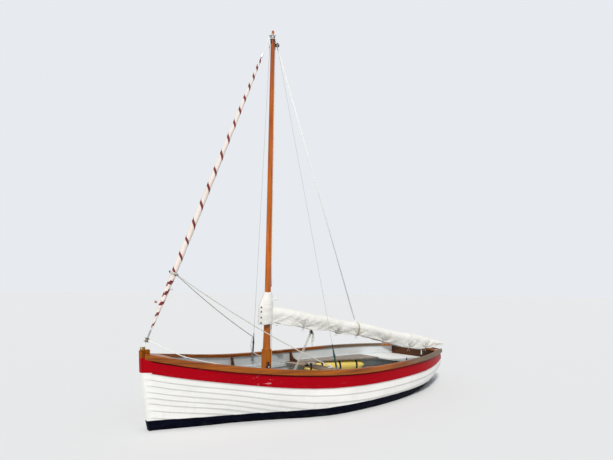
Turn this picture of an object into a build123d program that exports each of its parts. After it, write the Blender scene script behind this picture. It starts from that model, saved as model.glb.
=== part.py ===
from build123d import *
import math
import os

# Open clinker dinghy with one mast, a furled jib and a boom under its sail cover.
# Millimetres, +X to the bow, +Y to port, +Z up, origin amidships on the waterline.

# Hull
TRANSOM_X = -2500.0
PLANK = 12.0
LAP = 20.0
CLEAR = 0.3
LAP_CLEAR = 0.5
KEEL_BOTTOM = -335.0
KEEL_DEPTH = 50.0
HOG_RISE = 22.0
STEM_HALF = 20.0
APRON_DEPTH = 70.0
STEM_HEAD_LAP = 30.0
STEM_HEAD_STEP = 8.0
TRANSOM_THICK = 26.0
TRANSOM_CROWN = 20.0
OUTWALE_WIDE = 24.0
OUTWALE_TIP = 14.0
OUTWALE_DEEP = 62.0
OUTWALE_HORN = 60.0
INWALE_WIDE = 17.0
INWALE_DEEP = 42.0
HOOK_LONG = 230.0
HOOK_THICK = 26.0
QUARTER_KNEE = 210.0

# Centreboard and its case
BOARD_THICK = 18.0
BOARD_GAP = 5.0
CASE_WALL = 19.0
CASE_TOP = 330.0
PIVOT_X = 480.0
PIVOT_Z = -252.0
PIVOT_R = 8.0
BOARD_NOSE = 62.0
BOARD_LONG = 690.0
BOARD_DEEP = 290.0
SLOT_AFT_GAP = 50.0
SLOT_FORE_GAP = 18.0
SLOT_FROM = PIVOT_X - BOARD_LONG - SLOT_AFT_GAP
SLOT_TO = PIVOT_X + BOARD_NOSE + SLOT_FORE_GAP
PIN_HALF = 40.0
POST_X = 20.0
POST_R = 15.0
POST_TALL = 95.0
POST_KNOB = 5.0
POST_CAP = 14.0

# Seats, knees and floor
SEAT_TOP = 330.0
SEAT_THICK = 24.0
RISING_DEEP = 45.0
RISING_WIDE = 18.0
RISING_FROM = -2440.0
MAST_THWART_WIDE = 250.0
MID_THWART_FROM = -510.0
MID_THWART_TO = -290.0
STERN_SEAT_X = -1880.0
BENCH_IN_FORE = 790.0
BENCH_IN_AFT = 330.0
KNEE_THICK = 24.0
KNEE_REACH = 210.0
KNEE_TOE = 24.0
KNEE_THROAT = 60.0
KNEE_DROP = 4.0
KNEE_GAP = 1.5
BOARDS_TOP = -95.0
BOARDS_THICK = 14.0
FLOOR_THICK = 22.0
BAG_R = 100.0
BAG_FORE = (-700.0, 800.0)
BAG_AFT = (-1600.0, 560.0)
BAG_STEPS = 4

# Mast and its step
MAST_X = 815.0
MAST_HEEL = 92.0
MAST_HEEL_TOP = 717.0
MAST_R = 41.0
MAST_TOP_R = 30.0
MAST_TOP = 5052.0
MAST_TIP_R = 20.0
MAST_TIP_END = 17.0
MAST_TIP_TALL = 65.0
STEP_TOP = -150.0
STEP_LONG = 300.0
STEP_WIDE = 130.0
FLOOR_STEP_GAP = 14.0
TENON = 50.0
TENON_DEEP = 40.0
BAND_DROP = 34.0
BAND_Z = MAST_TOP - BAND_DROP
BAND_TALL = 36.0
BAND_WALL = 4.0
TANG_REACH = 34.0
TANG_THICK = 6.0
TANG_TALL = 22.0

# Shrouds
SHROUD_X = 405.0
SHROUD_R = 2.5
CHAIN_TALL = 150.0
CHAIN_WIDE = 30.0
CHAIN_THICK = 5.0
CHAIN_RISE = 30.0
LANYARD_R = 8.0
LANYARD_LONG = 215.0

# Headstay: the furled jib turns on the line from the stem head to the masthead
TACK_X = 2470.0
TACK_Z = 845.0
HEAD_X = 868.0
STROP_R = 4.0
STROP_FROM = 31.0
DRUM_FROM = 85.0
DRUM_TALL = 40.0
DRUM_R = 28.0
DRUM_CORE = 15.0
DRUM_FLANGE = 4.0
JIB_NECK = 9.0
JIB_FROM = 215.0
SWIVEL_R = 12.0
SWIVEL_LONG = 60.0
HALYARD_LONG = 272.0
HEAD_GAP = 58.0
STAY = math.hypot(TACK_X - HEAD_X, BAND_Z - TACK_Z)
HALYARD_TO = STAY - HEAD_GAP
JIB_TO = HALYARD_TO - HALYARD_LONG - SWIVEL_LONG

# Boom, swung to port as it lies, under its canvas cover
BOOM_SWING = 8.0
BOOM_DROOP = 8.9
BOOM_R = 27.0
BOOM_Z = 1100.0
BOOM_FROM = 63.0
BOOM_TO = 3385.0
JAW_GAP = 5.0
JAW_WALL = 22.0
JAW_TALL = 60.0
REST_WALL = 14.0
REST_TALL = 40.0
COVER_SIDES = 16
COVER_FULL = 0.2
COLLAR_SIDES = 24
COLLAR_HEM = 2.2
LIFT_REACH = 1500.0
LIFT_R = 6.2
LIFT_RING = 9.0
LIFT_RING_TALL = 10.0

# Fittings
ROWLOCK_X = -150.0
ROWLOCK_R = 7.0
ROWLOCK_PAD = (110.0, 30.0, 40.0)
GUDGEON_R = 5.5
GUDGEON_OUT = 10.0
GUDGEON_TALL = 26.0
GUDGEON_PLATE = 5.0
UPPER_GUDGEON_Z = 330.0
LOWER_GUDGEON_Z = -150.0
EYE_R = 7.0
STEM_PLATE = 6.0
LUG_TALL = 34.0
LUG_AFT = 20.0
PAD_AFT = 60.0
PAD_FORE = 34.0
PAD_HALF = 16.0
EYE_FORE = 20.0
EYE_DOWN = 14.0

# Columns: x, half breadth over the rail, sheer, turn of the side, rabbet, fullness, keel half width
STATIONS = [
    (-2500, 522, 503, 300, 20, 1.7, 24),
    (-2000, 735, 513, 290, -70, 2.0, 30),
    (-1500, 889, 517, 270, -145, 2.2, 38),
    (-1000, 965, 516, 250, -200, 2.3, 46),
    (-500, 995, 513, 240, -232, 2.4, 50),
    (0, 990, 519, 240, -245, 2.4, 50),
    (500, 927, 540, 260, -245, 2.3, 50),
    (1000, 800, 579, 380, -230, 1.75, 44),
    (1500, 650, 641, 600, -205, 1.5, 34),
    (2000, 458, 719, 719, -215, 1.15, 22),
]
X, BREADTH, SHEER, TURN, RABBET, FULL, KEEL = range(7)

# Columns: share of the girth at each plank's lower edge at stern, midships, bow frame and stem
PLANK_EDGES = [
    (0.0, 0.0, 0.0, 0.0),
    (0.080, 0.096, 0.103, 0.155),
    (0.160, 0.192, 0.205, 0.300),
    (0.245, 0.288, 0.300, 0.425),
    (0.325, 0.380, 0.385, 0.476),
    (0.405, 0.472, 0.460, 0.527),
    (0.482, 0.560, 0.528, 0.578),
    (0.548, 0.620, 0.585, 0.628),
    (0.612, 0.678, 0.642, 0.683),
    (0.676, 0.737, 0.704, 0.738),
    (0.738, 0.796, 0.763, 0.795),
    (0.800, 0.855, 0.822, 0.836),
    (1.0, 1.0, 1.0, 1.0),
]
BOW_FRAME = 1400.0

# Columns: x, z of the stem's rabbet from the forefoot up
STEM_RABBET = [
    (2150, -205),
    (2235, -140),
    (2298, -50),
    (2345, 60),
    (2385, 200),
    (2430, 420),
    (2455, 630),
    (2466, 803),
]

# Columns: x, z of the stem's outer face from the forefoot up
STEM_FACE = [
    (2150, -335),
    (2215, -285),
    (2290, -175),
    (2335, -80),
    (2363, 0),
    (2409, 166),
    (2455, 429),
    (2485, 626),
    (2502, 838),
]

# Half breadths of the points on the transom's crowned top edge, as shares of its width
CROWN_SHARES = (0.75, 0.5, 0.25, 0, -0.25, -0.5, -0.75)

# Columns: x of each floor timber, and whether the centreboard case splits it
STEP_FLOOR = MAST_X - STEP_LONG / 2 - FLOOR_STEP_GAP - FLOOR_THICK / 2
FLOORS = [(-1450, False), (-1000, False), (-480, False), (150, True), (STEP_FLOOR, False), (1120, False)]

# Columns: inner y, outer y, aft end and fore end of each bottom board
BOTTOM_BOARDS = [(50, 190, -1500, 1180), (200, 340, -1260, 900), (350, 490, -1040, 690)]

# Columns: share of the rolled jib's length from its foot up, radius there
JIB_ROLL = [(0, 15), (0.07, 24), (0.165, 33.5), (0.31, 34), (0.56, 31), (0.82, 24.5), (0.98, 17.5), (1, 12)]

# Columns: distance aft of the mast, top and bottom of the cover, its half width
COVER = [
    (84, 1252, 1050, 60),
    (300, 1222, 1000, 76),
    (520, 1172, 955, 82),
    (1000, 1086, 876, 86),
    (1500, 1020, 806, 88),
    (2100, 902, 700, 86),
    (2650, 816, 592, 80),
    (3100, 704, 548, 62),
    (3405, 632, 528, 44),
]

# Columns: height, reach forward, reach aft and half width of the collar round the mast
COLLAR = [
    (1035, 128, 80, 70),
    (1100, 132, 81, 74),
    (1160, 133, 81, 75),
    (1240, 124, 80, 74),
    (1300, 110, 79, 71),
    (1380, 74, 65, 60),
    (1450, 53, 54, 52.5),
]

# From this frame on the planks sweep in to the stem
SWEEP_X = 1500.0
SWEEP_STEPS = 5
MAIN_FRAMES = 16
ENTRY_LOW = 0.35
ENTRY_HIGH = 1.05
SHEER_SPRING = 0.2
STEM_LAP = 6.0
STEM_CLEAR = 1.0
RABBET_GAP = 2.2
PLANKS = len(PLANK_EDGES) - 1
STEM_X = STEM_RABBET[-1][0]
LOFT_STATIONS = [TRANSOM_X + (SWEEP_X - TRANSOM_X) * k / MAIN_FRAMES for k in range(MAIN_FRAMES)] + [
    SWEEP_X + (STEM_X - SWEEP_X) * k / SWEEP_STEPS for k in range(SWEEP_STEPS + 1)
]

# Sides of the mast, planed from square to round, and of soft round pieces
SIDES = 32
SOFT_SIDES = 20
STANDING = (Align.CENTER, Align.CENTER, Align.MIN)

os.makedirs("parts", exist_ok=True)


def save(name, *solids):
    """Write one node, of one solid or of several that stay apart."""
    shape = solids[0] if len(solids) == 1 else Compound(children=list(solids))
    export_step(shape, f"parts/{name}.step")


def both_sides(solid):
    """The solid and its mirror image across the centreline."""
    return [solid, mirror(solid, about=Plane.XZ)]


def along(rows, x, column):
    """A table's column at x, on a smooth curve through the rows."""
    i = 0
    while i < len(rows) - 2 and x > rows[i + 1][0]:
        i += 1

    def slope(k):
        before, after = rows[max(k - 1, 0)], rows[min(k + 1, len(rows) - 1)]
        return (after[column] - before[column]) / (after[0] - before[0])

    span = rows[i + 1][0] - rows[i][0]
    t = (x - rows[i][0]) / span
    return (
        (2 * t**3 - 3 * t**2 + 1) * rows[i][column]
        + (t**3 - 2 * t**2 + t) * span * slope(i)
        + (3 * t**2 - 2 * t**3) * rows[i + 1][column]
        + (t**3 - t**2) * span * slope(i + 1)
    )


def share_of(points, share):
    """The point at a share of a polyline's length."""
    runs = [math.dist(a, b) for a, b in zip(points, points[1:])]
    left = share * sum(runs)
    for a, b, run in zip(points, points[1:], runs):
        if left <= run:
            return tuple(p + (q - p) * left / run for p, q in zip(a, b))
        left -= run
    return points[-1]


def girth(x):
    """The moulded half section at x as (x, y, z), from the rabbet to the sheer."""
    breadth, sheer, turn, rabbet, full, keel = (along(STATIONS, x, c) for c in range(BREADTH, KEEL + 1))
    half = breadth - OUTWALE_WIDE - CLEAR - PLANK
    steps = 32
    points = []
    for k in range(steps + 1):
        angle = math.pi / 2 * (1 - k / steps)
        y = keel + (half - keel) * math.cos(angle) ** (2 / full)
        z = turn - (turn - rabbet) * math.sin(angle) ** (2 / full)
        points.append((x, y, z))
    if sheer - turn > 1:
        points.append((x, half, sheer))
    return points


def edge_share(x, edge):
    """The share of the girth at a plank edge, at x."""
    stern, midships, bow, stem = PLANK_EDGES[edge]
    if x < 0:
        t = x / TRANSOM_X
        return midships + (stern - midships) * t * t
    t, bow_t = x / STEM_X, BOW_FRAME / STEM_X
    cubic = ((bow - midships) / bow_t**2 - (stem - midships)) / (bow_t - 1)
    return midships + (stem - midships - cubic) * t * t + cubic * t**3


def land(edge, station):
    """The moulded point of a plank edge at a station: across the hull, or swept to the stem."""
    if station <= SWEEP_X:
        return share_of(girth(station), edge_share(station, edge))
    start, after = land(edge, SWEEP_X), share_of(girth(SWEEP_X + 1), edge_share(SWEEP_X + 1, edge))
    end_x, end_z = share_of(STEM_RABBET, PLANK_EDGES[edge][2])
    t = (station - SWEEP_X) / (STEM_X - SWEEP_X)
    length = end_x - SWEEP_X
    entry = ENTRY_LOW + (ENTRY_HIGH - ENTRY_LOW) * (edge / PLANKS) ** 2
    ends = (
        (start[0], 1.0, end_x, 1.0),
        (start[1], after[1] - start[1], STEM_HALF, -entry),
        (start[2], after[2] - start[2], end_z, SHEER_SPRING),
    )
    return tuple(
        (2 * t**3 - 3 * t**2 + 1) * first
        + (t**3 - 2 * t**2 + t) * length * leaving
        + (3 * t**2 - 2 * t**3) * last
        + (t**3 - t**2) * length * arriving
        for first, leaving, last, arriving in ends
    )


def unit(vector):
    """A vector of length one."""
    size = math.hypot(*vector)
    return tuple(v / size for v in vector)


def moved(point, direction, distance):
    """A point moved along a direction."""
    return tuple(p + d * distance for p, d in zip(point, direction))


def outward(low, high):
    """The outward direction across the boat of a plank between two points."""
    return unit((0, high[2] - low[2], low[1] - high[1]))


def plank_line(k, station, clear):
    """Plank k's inner face on a frame: its foot, its direction upward and its outward normal."""
    low, high = land(k, station), land(k + 1, station)
    if k:
        first, second = outward(land(k - 1, station), low), outward(low, high)
        low = moved(low, unit(tuple(p + q for p, q in zip(first, second))), PLANK + clear)
    return low, unit(tuple(q - p for p, q in zip(low, high))), outward(low, high)


def lap_over(k, station, clear, lap):
    """The strip where plank k + 1 lies on plank k: its foot, its top and its outward normal."""
    _, rise, _ = plank_line(k, station, clear)
    foot, next_rise, out = plank_line(k + 1, station, clear)
    top = moved(land(k + 1, station), rise, lap)
    reach = sum((t - p) * r for t, p, r in zip(top, moved(foot, out, -clear), rise))
    return foot, moved(foot, next_rise, reach / sum(n * r for n, r in zip(next_rise, rise))), out


def board(k, station):
    """Plank k's corners on a frame, from the lap at its foot up, its upper edge planed for the next."""
    at_stem = station >= STEM_X
    clear, lap = (STEM_CLEAR, STEM_LAP) if at_stem else (LAP_CLEAR, LAP)
    foot, rise, out = plank_line(k, station, clear)
    top = land(k + 1, station)
    outer_foot = moved(foot, out, PLANK)
    if k == PLANKS - 1:
        edge = [top, moved(top, out, PLANK)]
    else:
        strip_foot, strip_top, strip_out = lap_over(k, station, clear, lap)
        edge = [moved(top, rise, lap)] + [moved(p, strip_out, -clear) for p in (strip_top, strip_foot)]
    lapped = [lap_over(k - 1, station, clear, lap)[1]] if k else []
    corners = lapped + edge + [outer_foot, foot] if k else [foot] + edge + [outer_foot]
    if at_stem and k < PLANKS - 1:
        rake = rise[0] / rise[2]
        corners = [(foot[0] + rake * (z - foot[2]), y, z) for _, y, z in corners]
    return corners


FRAMES = {s: [board(k, s) for k in range(PLANKS)] for s in LOFT_STATIONS}


def plank_section(k, station):
    """The corners of plank k at any station, on the straight runs between the frames."""
    after = next(s for s in LOFT_STATIONS if s >= station)
    before = max([s for s in LOFT_STATIONS if s < after], default=after)
    if station == after:
        return FRAMES[after][k]
    t = (station - before) / (after - before)
    pairs = zip(FRAMES[before][k], FRAMES[after][k])
    return [tuple(a + (b - a) * t for a, b in zip(*pair)) for pair in pairs]


def plank_face(k, station):
    """Plank k's inner face at any station: a low point, its direction upward and its outward normal."""
    low, top = plank_section(k, station)[:2]
    return low, unit(tuple(q - p for p, q in zip(low, top))), outward(low, top)


def skin(sections, ruled=True):
    """A solid through closed sections, each a list of corners."""
    wires = [Wire.make_polygon([Vector(*p) for p in section], close=True) for section in sections]
    return Solid.make_loft(wires, ruled)


def faceted(sections):
    """A solid like skin's, of flat triangles whose diagonals rise forward, to keep laps parallel."""
    points = [[Vector(*p) for p in section] for section in sections]
    count = len(points[0])
    triangles = [(points[0][0], points[0][i + 1], points[0][i]) for i in range(1, count - 1)]
    triangles += [(points[-1][0], points[-1][i], points[-1][i + 1]) for i in range(1, count - 1)]
    for here, ahead in zip(points, points[1:]):
        for i in range(count):
            j = (i + 1) % count
            if here[i].Y + here[i].Z < here[j].Y + here[j].Z:
                triangles += [(here[i], here[j], ahead[j]), (here[i], ahead[j], ahead[i])]
            else:
                triangles += [(here[i], here[j], ahead[i]), (here[j], ahead[j], ahead[i])]
    return Solid(Shell([Face(Wire.make_polygon(list(corners), close=True)) for corners in triangles]))


def many_sided(radius, height, sides):
    """The corners of a many-sided round section about the Z axis."""
    turns = [2 * math.pi * k / sides for k in range(sides)]
    return [(radius * math.cos(a), radius * math.sin(a), height) for a in turns]


def inner_half(x, z):
    """The half breadth inside the planking at a station, over its innermost corners."""
    corners = [plank_section(k, x)[1] for k in range(PLANKS)]
    for low, high in zip(corners, corners[1:]):
        if low[2] <= z <= high[2]:
            return low[1] + (high[1] - low[1]) * (z - low[2]) / (high[2] - low[2])
    return corners[0][1]


def plate(points, plane, thick):
    """A flat plate of the given outline, centred on its plane."""
    return extrude(plane * make_face(Polyline(*points, close=True)), amount=thick / 2, both=True)


def block(low, high):
    """A box between two opposite corners."""
    size = [q - p for p, q in zip(low, high)]
    middle = [(p + q) / 2 for p, q in zip(low, high)]
    return Pos(*middle) * Box(*size)


def rod(start, end, radius):
    """A round rod between two points."""
    axis = Vector(*end) - Vector(*start)
    return Plane(origin=start, z_dir=axis) * Cylinder(radius, axis.length, align=STANDING)


def turned(profile, place):
    """A piece turned on a lathe, from its half outline as pairs of radius and height."""
    return place * revolve(Plane.XZ * make_face(Polyline(*profile, close=True)), Axis.Z)


def sheer_corner(station):
    """The sheer plank's top inner corner, its direction upward and its outward normal."""
    _, rise, out = plank_face(PLANKS - 1, station)
    return plank_section(PLANKS - 1, station)[1], rise, out


def rail(side, wide_at, deep, stations, horn=0):
    """A rail along the sheer plank: side is 1 outside it and -1 inside it, and a horn runs on aft."""
    sections = []
    for station in stations:
        top, rise, out = sheer_corner(station)
        near = moved(top, out, PLANK + CLEAR if side > 0 else -CLEAR)
        far = moved(near, out, side * wide_at(station))
        sections.append([near, far, moved(far, rise, -deep), moved(near, rise, -deep)])
    if horn:
        share = horn / (stations[1] - stations[0])
        end = [tuple(p + (p - q) * share for p, q in zip(*pair)) for pair in zip(*sections[:2])]
        sections.insert(0, end)
    return skin(sections)


def inwale_face(x_from, x_to):
    """The half breadth between the inwales over a stretch, a clearance inside them."""
    halves = []
    for x in (x_from, x_to):
        top, rise, out = sheer_corner(x)
        high = moved(top, out, -INWALE_WIDE - 2 * CLEAR)
        halves += [high[1], moved(high, rise, -INWALE_DEEP)[1]]
    return min(halves)


def hog_top(x):
    """The height of the hog's upper face."""
    return plank_section(0, x)[0][2] + HOG_RISE


def planking():
    """Twelve lapped strakes a side, from the garboard to the sheer."""
    for k in range(PLANKS):
        frames = [FRAMES[s][k] for s in LOFT_STATIONS]
        strake = skin(frames) if k == PLANKS - 1 else faceted(frames)
        save(f"strake_{k + 1:02d}", *both_sides(strake))


def backbone():
    """Keel, hog with its deadwood aft, and stem."""
    keel_top = KEEL_BOTTOM + KEEL_DEPTH
    keel_sections, hog_sections = [], []
    for station in LOFT_STATIONS:
        x, y, z = land(0, station)
        x, y = min(x, STEM_FACE[0][0] - CLEAR), y - CLEAR
        low, high = keel_top + CLEAR, z + HOG_RISE
        keel_sections.append(
            [(x, -y, KEEL_BOTTOM), (x, y, KEEL_BOTTOM), (x, y, keel_top), (x, -y, keel_top)]
        )
        hog_sections.append([(x, -y, low), (x, y, low), (x, y, high), (x, -y, high)])
    half = BOARD_THICK / 2 + BOARD_GAP
    slot = block((SLOT_FROM, -half, KEEL_BOTTOM - 1), (SLOT_TO, half, 0))
    pin = rod((PIVOT_X, -PIN_HALF, PIVOT_Z), (PIVOT_X, PIN_HALF, PIVOT_Z), PIVOT_R + CLEAR / 2)
    save("keel", skin(keel_sections) - slot)
    save("hog", faceted(hog_sections) - slot - pin)
    rabbet = [(x + RABBET_GAP, z - RABBET_GAP) for x, z in STEM_RABBET]
    outer = plate(STEM_FACE + rabbet[::-1], Plane.XZ, 2 * (STEM_HALF + PLANK))
    apron = [(x - APRON_DEPTH, z) for x, z in STEM_RABBET[1:]]
    foot_x, foot_z = STEM_FACE[0][0], STEM_RABBET[0][1]
    thick = 2 * (STEM_HALF - CLEAR)
    inner = [(foot_x, foot_z)] + STEM_RABBET[1:] + apron[::-1] + [(foot_x, foot_z + HOG_RISE)]
    back, low, top = STEM_X - APRON_DEPTH, STEM_RABBET[-1][1] - STEM_HEAD_LAP, STEM_FACE[-1][1]
    head = [(back, low), (STEM_X + STEM_HEAD_STEP, low), STEM_FACE[-1], (back, top)]
    save("stem", outer + plate(inner, Plane.XZ, thick) + plate(head, Plane.XZ, thick))


def transom():
    """The transom, notched to the laps of the planks, with a crowned top edge."""
    faces = []
    for x in (TRANSOM_X, TRANSOM_X + TRANSOM_THICK):
        base = hog_top(x) + CLEAR
        foot, _, out = plank_face(0, x)
        side = [moved(foot, out, -CLEAR)]
        for k in range(PLANKS - 1):
            section = plank_section(k, x)
            _, rise, out = plank_face(k, x)
            side.append(moved(moved(section[1], out, -CLEAR), rise, CLEAR))
            side.append(moved(section[2], rise, CLEAR))
        top, _, out = sheer_corner(x)
        side.append(moved(top, out, -CLEAR))
        above = next(i for i, corner in enumerate(side) if corner[2] > base)
        low, high = side[above - 1], side[above]
        t = (base - low[2]) / (high[2] - low[2])
        side = [tuple(p + (q - p) * t for p, q in zip(low, high))] + side[above:]
        _, half, height = side[-1]
        crown = [(x, half * f, height + TRANSOM_CROWN * (1 - f * f)) for f in CROWN_SHARES]
        faces.append(side + crown + [(x, -y, z) for _, y, z in side[::-1]])
    save("transom", skin(faces))


def rails():
    """Outwales, inwales, breasthook and quarter knees."""
    hook_station = STEM_X - APRON_DEPTH - HOOK_LONG
    taper_from = SWEEP_X

    def outwale_wide(station):
        t = max(0, (station - taper_from) / (STEM_X - taper_from))
        return OUTWALE_WIDE + (OUTWALE_TIP - OUTWALE_WIDE) * t * t

    outwale = rail(1, outwale_wide, OUTWALE_DEEP, LOFT_STATIONS, OUTWALE_HORN)
    save("outwale", *both_sides(outwale))
    start = TRANSOM_X + TRANSOM_THICK + CLEAR
    inside = [start] + [s for s in LOFT_STATIONS if start < s < hook_station - 50] + [hook_station - CLEAR]
    save("inwale", *both_sides(rail(-1, lambda station: INWALE_WIDE, INWALE_DEEP, inside)))
    hook = []
    ahead = [s for s in LOFT_STATIONS if hook_station < s < hook_station + HOOK_LONG]
    for station in [hook_station] + ahead + [hook_station + HOOK_LONG - 4]:
        top, rise, out = sheer_corner(station)
        high = moved(moved(top, out, -CLEAR), rise, -2)
        low = moved(high, rise, -HOOK_THICK)
        hook.append([high, (high[0], -high[1], high[2]), (low[0], -low[1], low[2]), low])
    save("breasthook", skin(hook))
    knee = []
    for f in (0.0, 0.35, 0.7, 1.0):
        top, rise, out = sheer_corner(start + QUARTER_KNEE * f)
        high = moved(moved(top, out, -INWALE_WIDE - 2 * CLEAR), rise, -2)
        low = moved(high, rise, -HOOK_THICK)
        arm = QUARTER_KNEE * (1 - f) ** 1.5 + KNEE_TOE
        knee.append([high, (high[0], high[1] - arm, high[2]), (low[0], low[1] - arm, low[2]), low])
    save("quarter_knees", *both_sides(skin(knee)))


def seats():
    """Risings, thwarts, side benches, stern seat and standing knees."""
    under = SEAT_TOP - SEAT_THICK
    sections = []
    for x in [RISING_FROM] + [s for s in LOFT_STATIONS if RISING_FROM < s <= SWEEP_X]:
        high, low = under - CLEAR, under - CLEAR - RISING_DEEP
        y_high, y_low = inner_half(x, high) - CLEAR, inner_half(x, low) - CLEAR
        outer, inner = [(x, y_high, high), (x, y_low, low)], [(x, y_low, low), (x, y_high, high)]
        sections.append(outer + [(x, y - RISING_WIDE, z) for x, y, z in inner])
    save("risings", *both_sides(skin(sections)))

    def seat(outline):
        return Pos(0, 0, under) * extrude(make_face(Polyline(*outline, close=True)), amount=SEAT_THICK)

    def edge(x):
        return min(inner_half(x, under), inner_half(x, SEAT_TOP)) - 2 * CLEAR

    def board_across(x_from, x_to):
        xs = [x_from + (x_to - x_from) * f for f in (0, 0.5, 1)]
        port = [(x, edge(x)) for x in xs]
        return seat(port + [(x, -y) for x, y in port[::-1]])

    mast_from, mast_to = MAST_X - MAST_THWART_WIDE / 2, MAST_X + MAST_THWART_WIDE / 2
    hole = MAST_HEEL + 2
    partner = Pos(MAST_X, 0, under) * Box(hole, hole, 3 * SEAT_THICK)
    save("mast_thwart", board_across(mast_from, mast_to) - partner)
    save("mid_thwart", board_across(MID_THWART_FROM, MID_THWART_TO))
    bench_from, bench_to = MID_THWART_FROM - CLEAR, STERN_SEAT_X + CLEAR
    runs = 6
    outer = [bench_from + (bench_to - bench_from) * k / runs for k in range(runs + 1)]
    bench = [(x, edge(x)) for x in outer] + [(bench_to, BENCH_IN_AFT), (bench_from, BENCH_IN_FORE)]
    save("side_benches", *both_sides(seat(bench)))
    stern = [STERN_SEAT_X, (STERN_SEAT_X + TRANSOM_X) / 2, TRANSOM_X + TRANSOM_THICK + CLEAR]
    port = [(x, edge(x)) for x in stern]
    save("stern_seat", seat(port + [(x, -y) for x, y in port[::-1]]))
    knees = []
    for x in (MAST_X, (MID_THWART_FROM + MID_THWART_TO) / 2):
        faces = []
        for face_x in (x - KNEE_THICK / 2, x + KNEE_THICK / 2):
            low, high = SEAT_TOP + CLEAR, sheer_corner(x)[0][2] - INWALE_DEEP - KNEE_DROP
            y_low, y_high = inner_half(face_x, low) - KNEE_GAP, inner_half(face_x, high) - KNEE_GAP
            arm = [
                (y_high - KNEE_TOE, high),
                (y_low - KNEE_REACH * 0.35, low + KNEE_THROAT),
                (y_low - KNEE_REACH, low + KNEE_TOE / 2),
                (y_low - KNEE_REACH, low),
            ]
            faces.append([(face_x, y, z) for y, z in [(y_low, low), (y_high, high)] + arm])
        knees += both_sides(skin(faces))
    save("thwart_knees", *knees)


def floor():
    """Floor timbers across the keel and the bottom boards on them."""
    top = BOARDS_TOP - BOARDS_THICK - CLEAR
    timbers = []
    for x, split in FLOORS:
        inner = BOARD_THICK / 2 + BOARD_GAP + CASE_WALL + CLEAR
        kept = [k for k in range(PLANKS) if hog_top(x) + 8 < plank_section(k, x)[1][2] < top - 4]
        faces = []
        for face_x in (x - FLOOR_THICK / 2, x + FLOOR_THICK / 2):
            base = hog_top(face_x) + CLEAR
            corners = [plank_section(k, face_x)[1] for k in kept]
            side = [(face_x, plank_section(0, face_x)[0][1] - 8, base)]
            side += [(face_x, y - 1, z + 1) for _, y, z in corners]
            side.append((face_x, inner_half(face_x, top) - 1, top))
            if split:
                faces.append([(face_x, inner, base)] + side + [(face_x, inner, top)])
            else:
                faces.append(side + [(face_x, -y, z) for _, y, z in side[::-1]])
        timbers += both_sides(skin(faces)) if split else [skin(faces)]
    save("floor_timbers", *timbers)
    boards = []
    for inner, outer, aft, fore in BOTTOM_BOARDS:
        boards += both_sides(block((aft, inner, BOARDS_TOP - BOARDS_THICK), (fore, outer, BOARDS_TOP)))
    save("bottom_boards", *boards)


def centreboard():
    """The case over its slot, the pin, the board that swings down on it and a post on the case."""
    half = BOARD_THICK / 2 + BOARD_GAP
    base = max(hog_top(SLOT_FROM - CASE_WALL), hog_top(SLOT_TO + CASE_WALL), hog_top(SLOT_FROM)) + CLEAR
    wide = half + CASE_WALL
    outer = block((SLOT_FROM - CASE_WALL, -wide, base), (SLOT_TO + CASE_WALL, wide, CASE_TOP))
    slot = block((SLOT_FROM, -half, base - 1), (SLOT_TO, half, CASE_TOP + 1))
    save("centreboard_case", outer - slot)
    pin_half = PIN_HALF - CLEAR
    save("centreboard_pin", rod((PIVOT_X, -pin_half, PIVOT_Z), (PIVOT_X, pin_half, PIVOT_Z), PIVOT_R))
    low, aft = PIVOT_Z - BOARD_NOSE, PIVOT_X - BOARD_LONG
    outline = [(PIVOT_X, low), (aft, low), (aft, low + BOARD_DEEP), (PIVOT_X, PIVOT_Z + BOARD_NOSE)]
    board = plate(outline, Plane.XZ, BOARD_THICK)
    nose = Pos(PIVOT_X, 0, PIVOT_Z) * Rot(90, 0, 0) * Cylinder(BOARD_NOSE, BOARD_THICK)
    hole = Pos(PIVOT_X, 0, PIVOT_Z) * Rot(90, 0, 0) * Cylinder(PIVOT_R + CLEAR, BOARD_THICK + 2)
    save("centreboard", board + nose - hole)
    cap = block((POST_X - wide, -wide, CASE_TOP + CLEAR), (POST_X + wide, wide, CASE_TOP + POST_CAP))
    knob_r = POST_R + POST_KNOB
    outline = [
        (0, 0),
        (POST_R, 0),
        (POST_R, POST_TALL),
        (knob_r, POST_TALL + POST_KNOB),
        (knob_r, POST_TALL + knob_r),
        (knob_r / 2, POST_TALL + knob_r + POST_KNOB),
        (0, POST_TALL + knob_r + POST_KNOB),
    ]
    save("case_post", cap + turned(outline, Pos(POST_X, 0, CASE_TOP + POST_CAP - 1)))


def mast_radius(z):
    """The mast's radius above its squared heel."""
    return MAST_R + (MAST_TOP_R - MAST_R) * (z - MAST_HEEL_TOP) / (MAST_TOP - MAST_HEEL_TOP)


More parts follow.
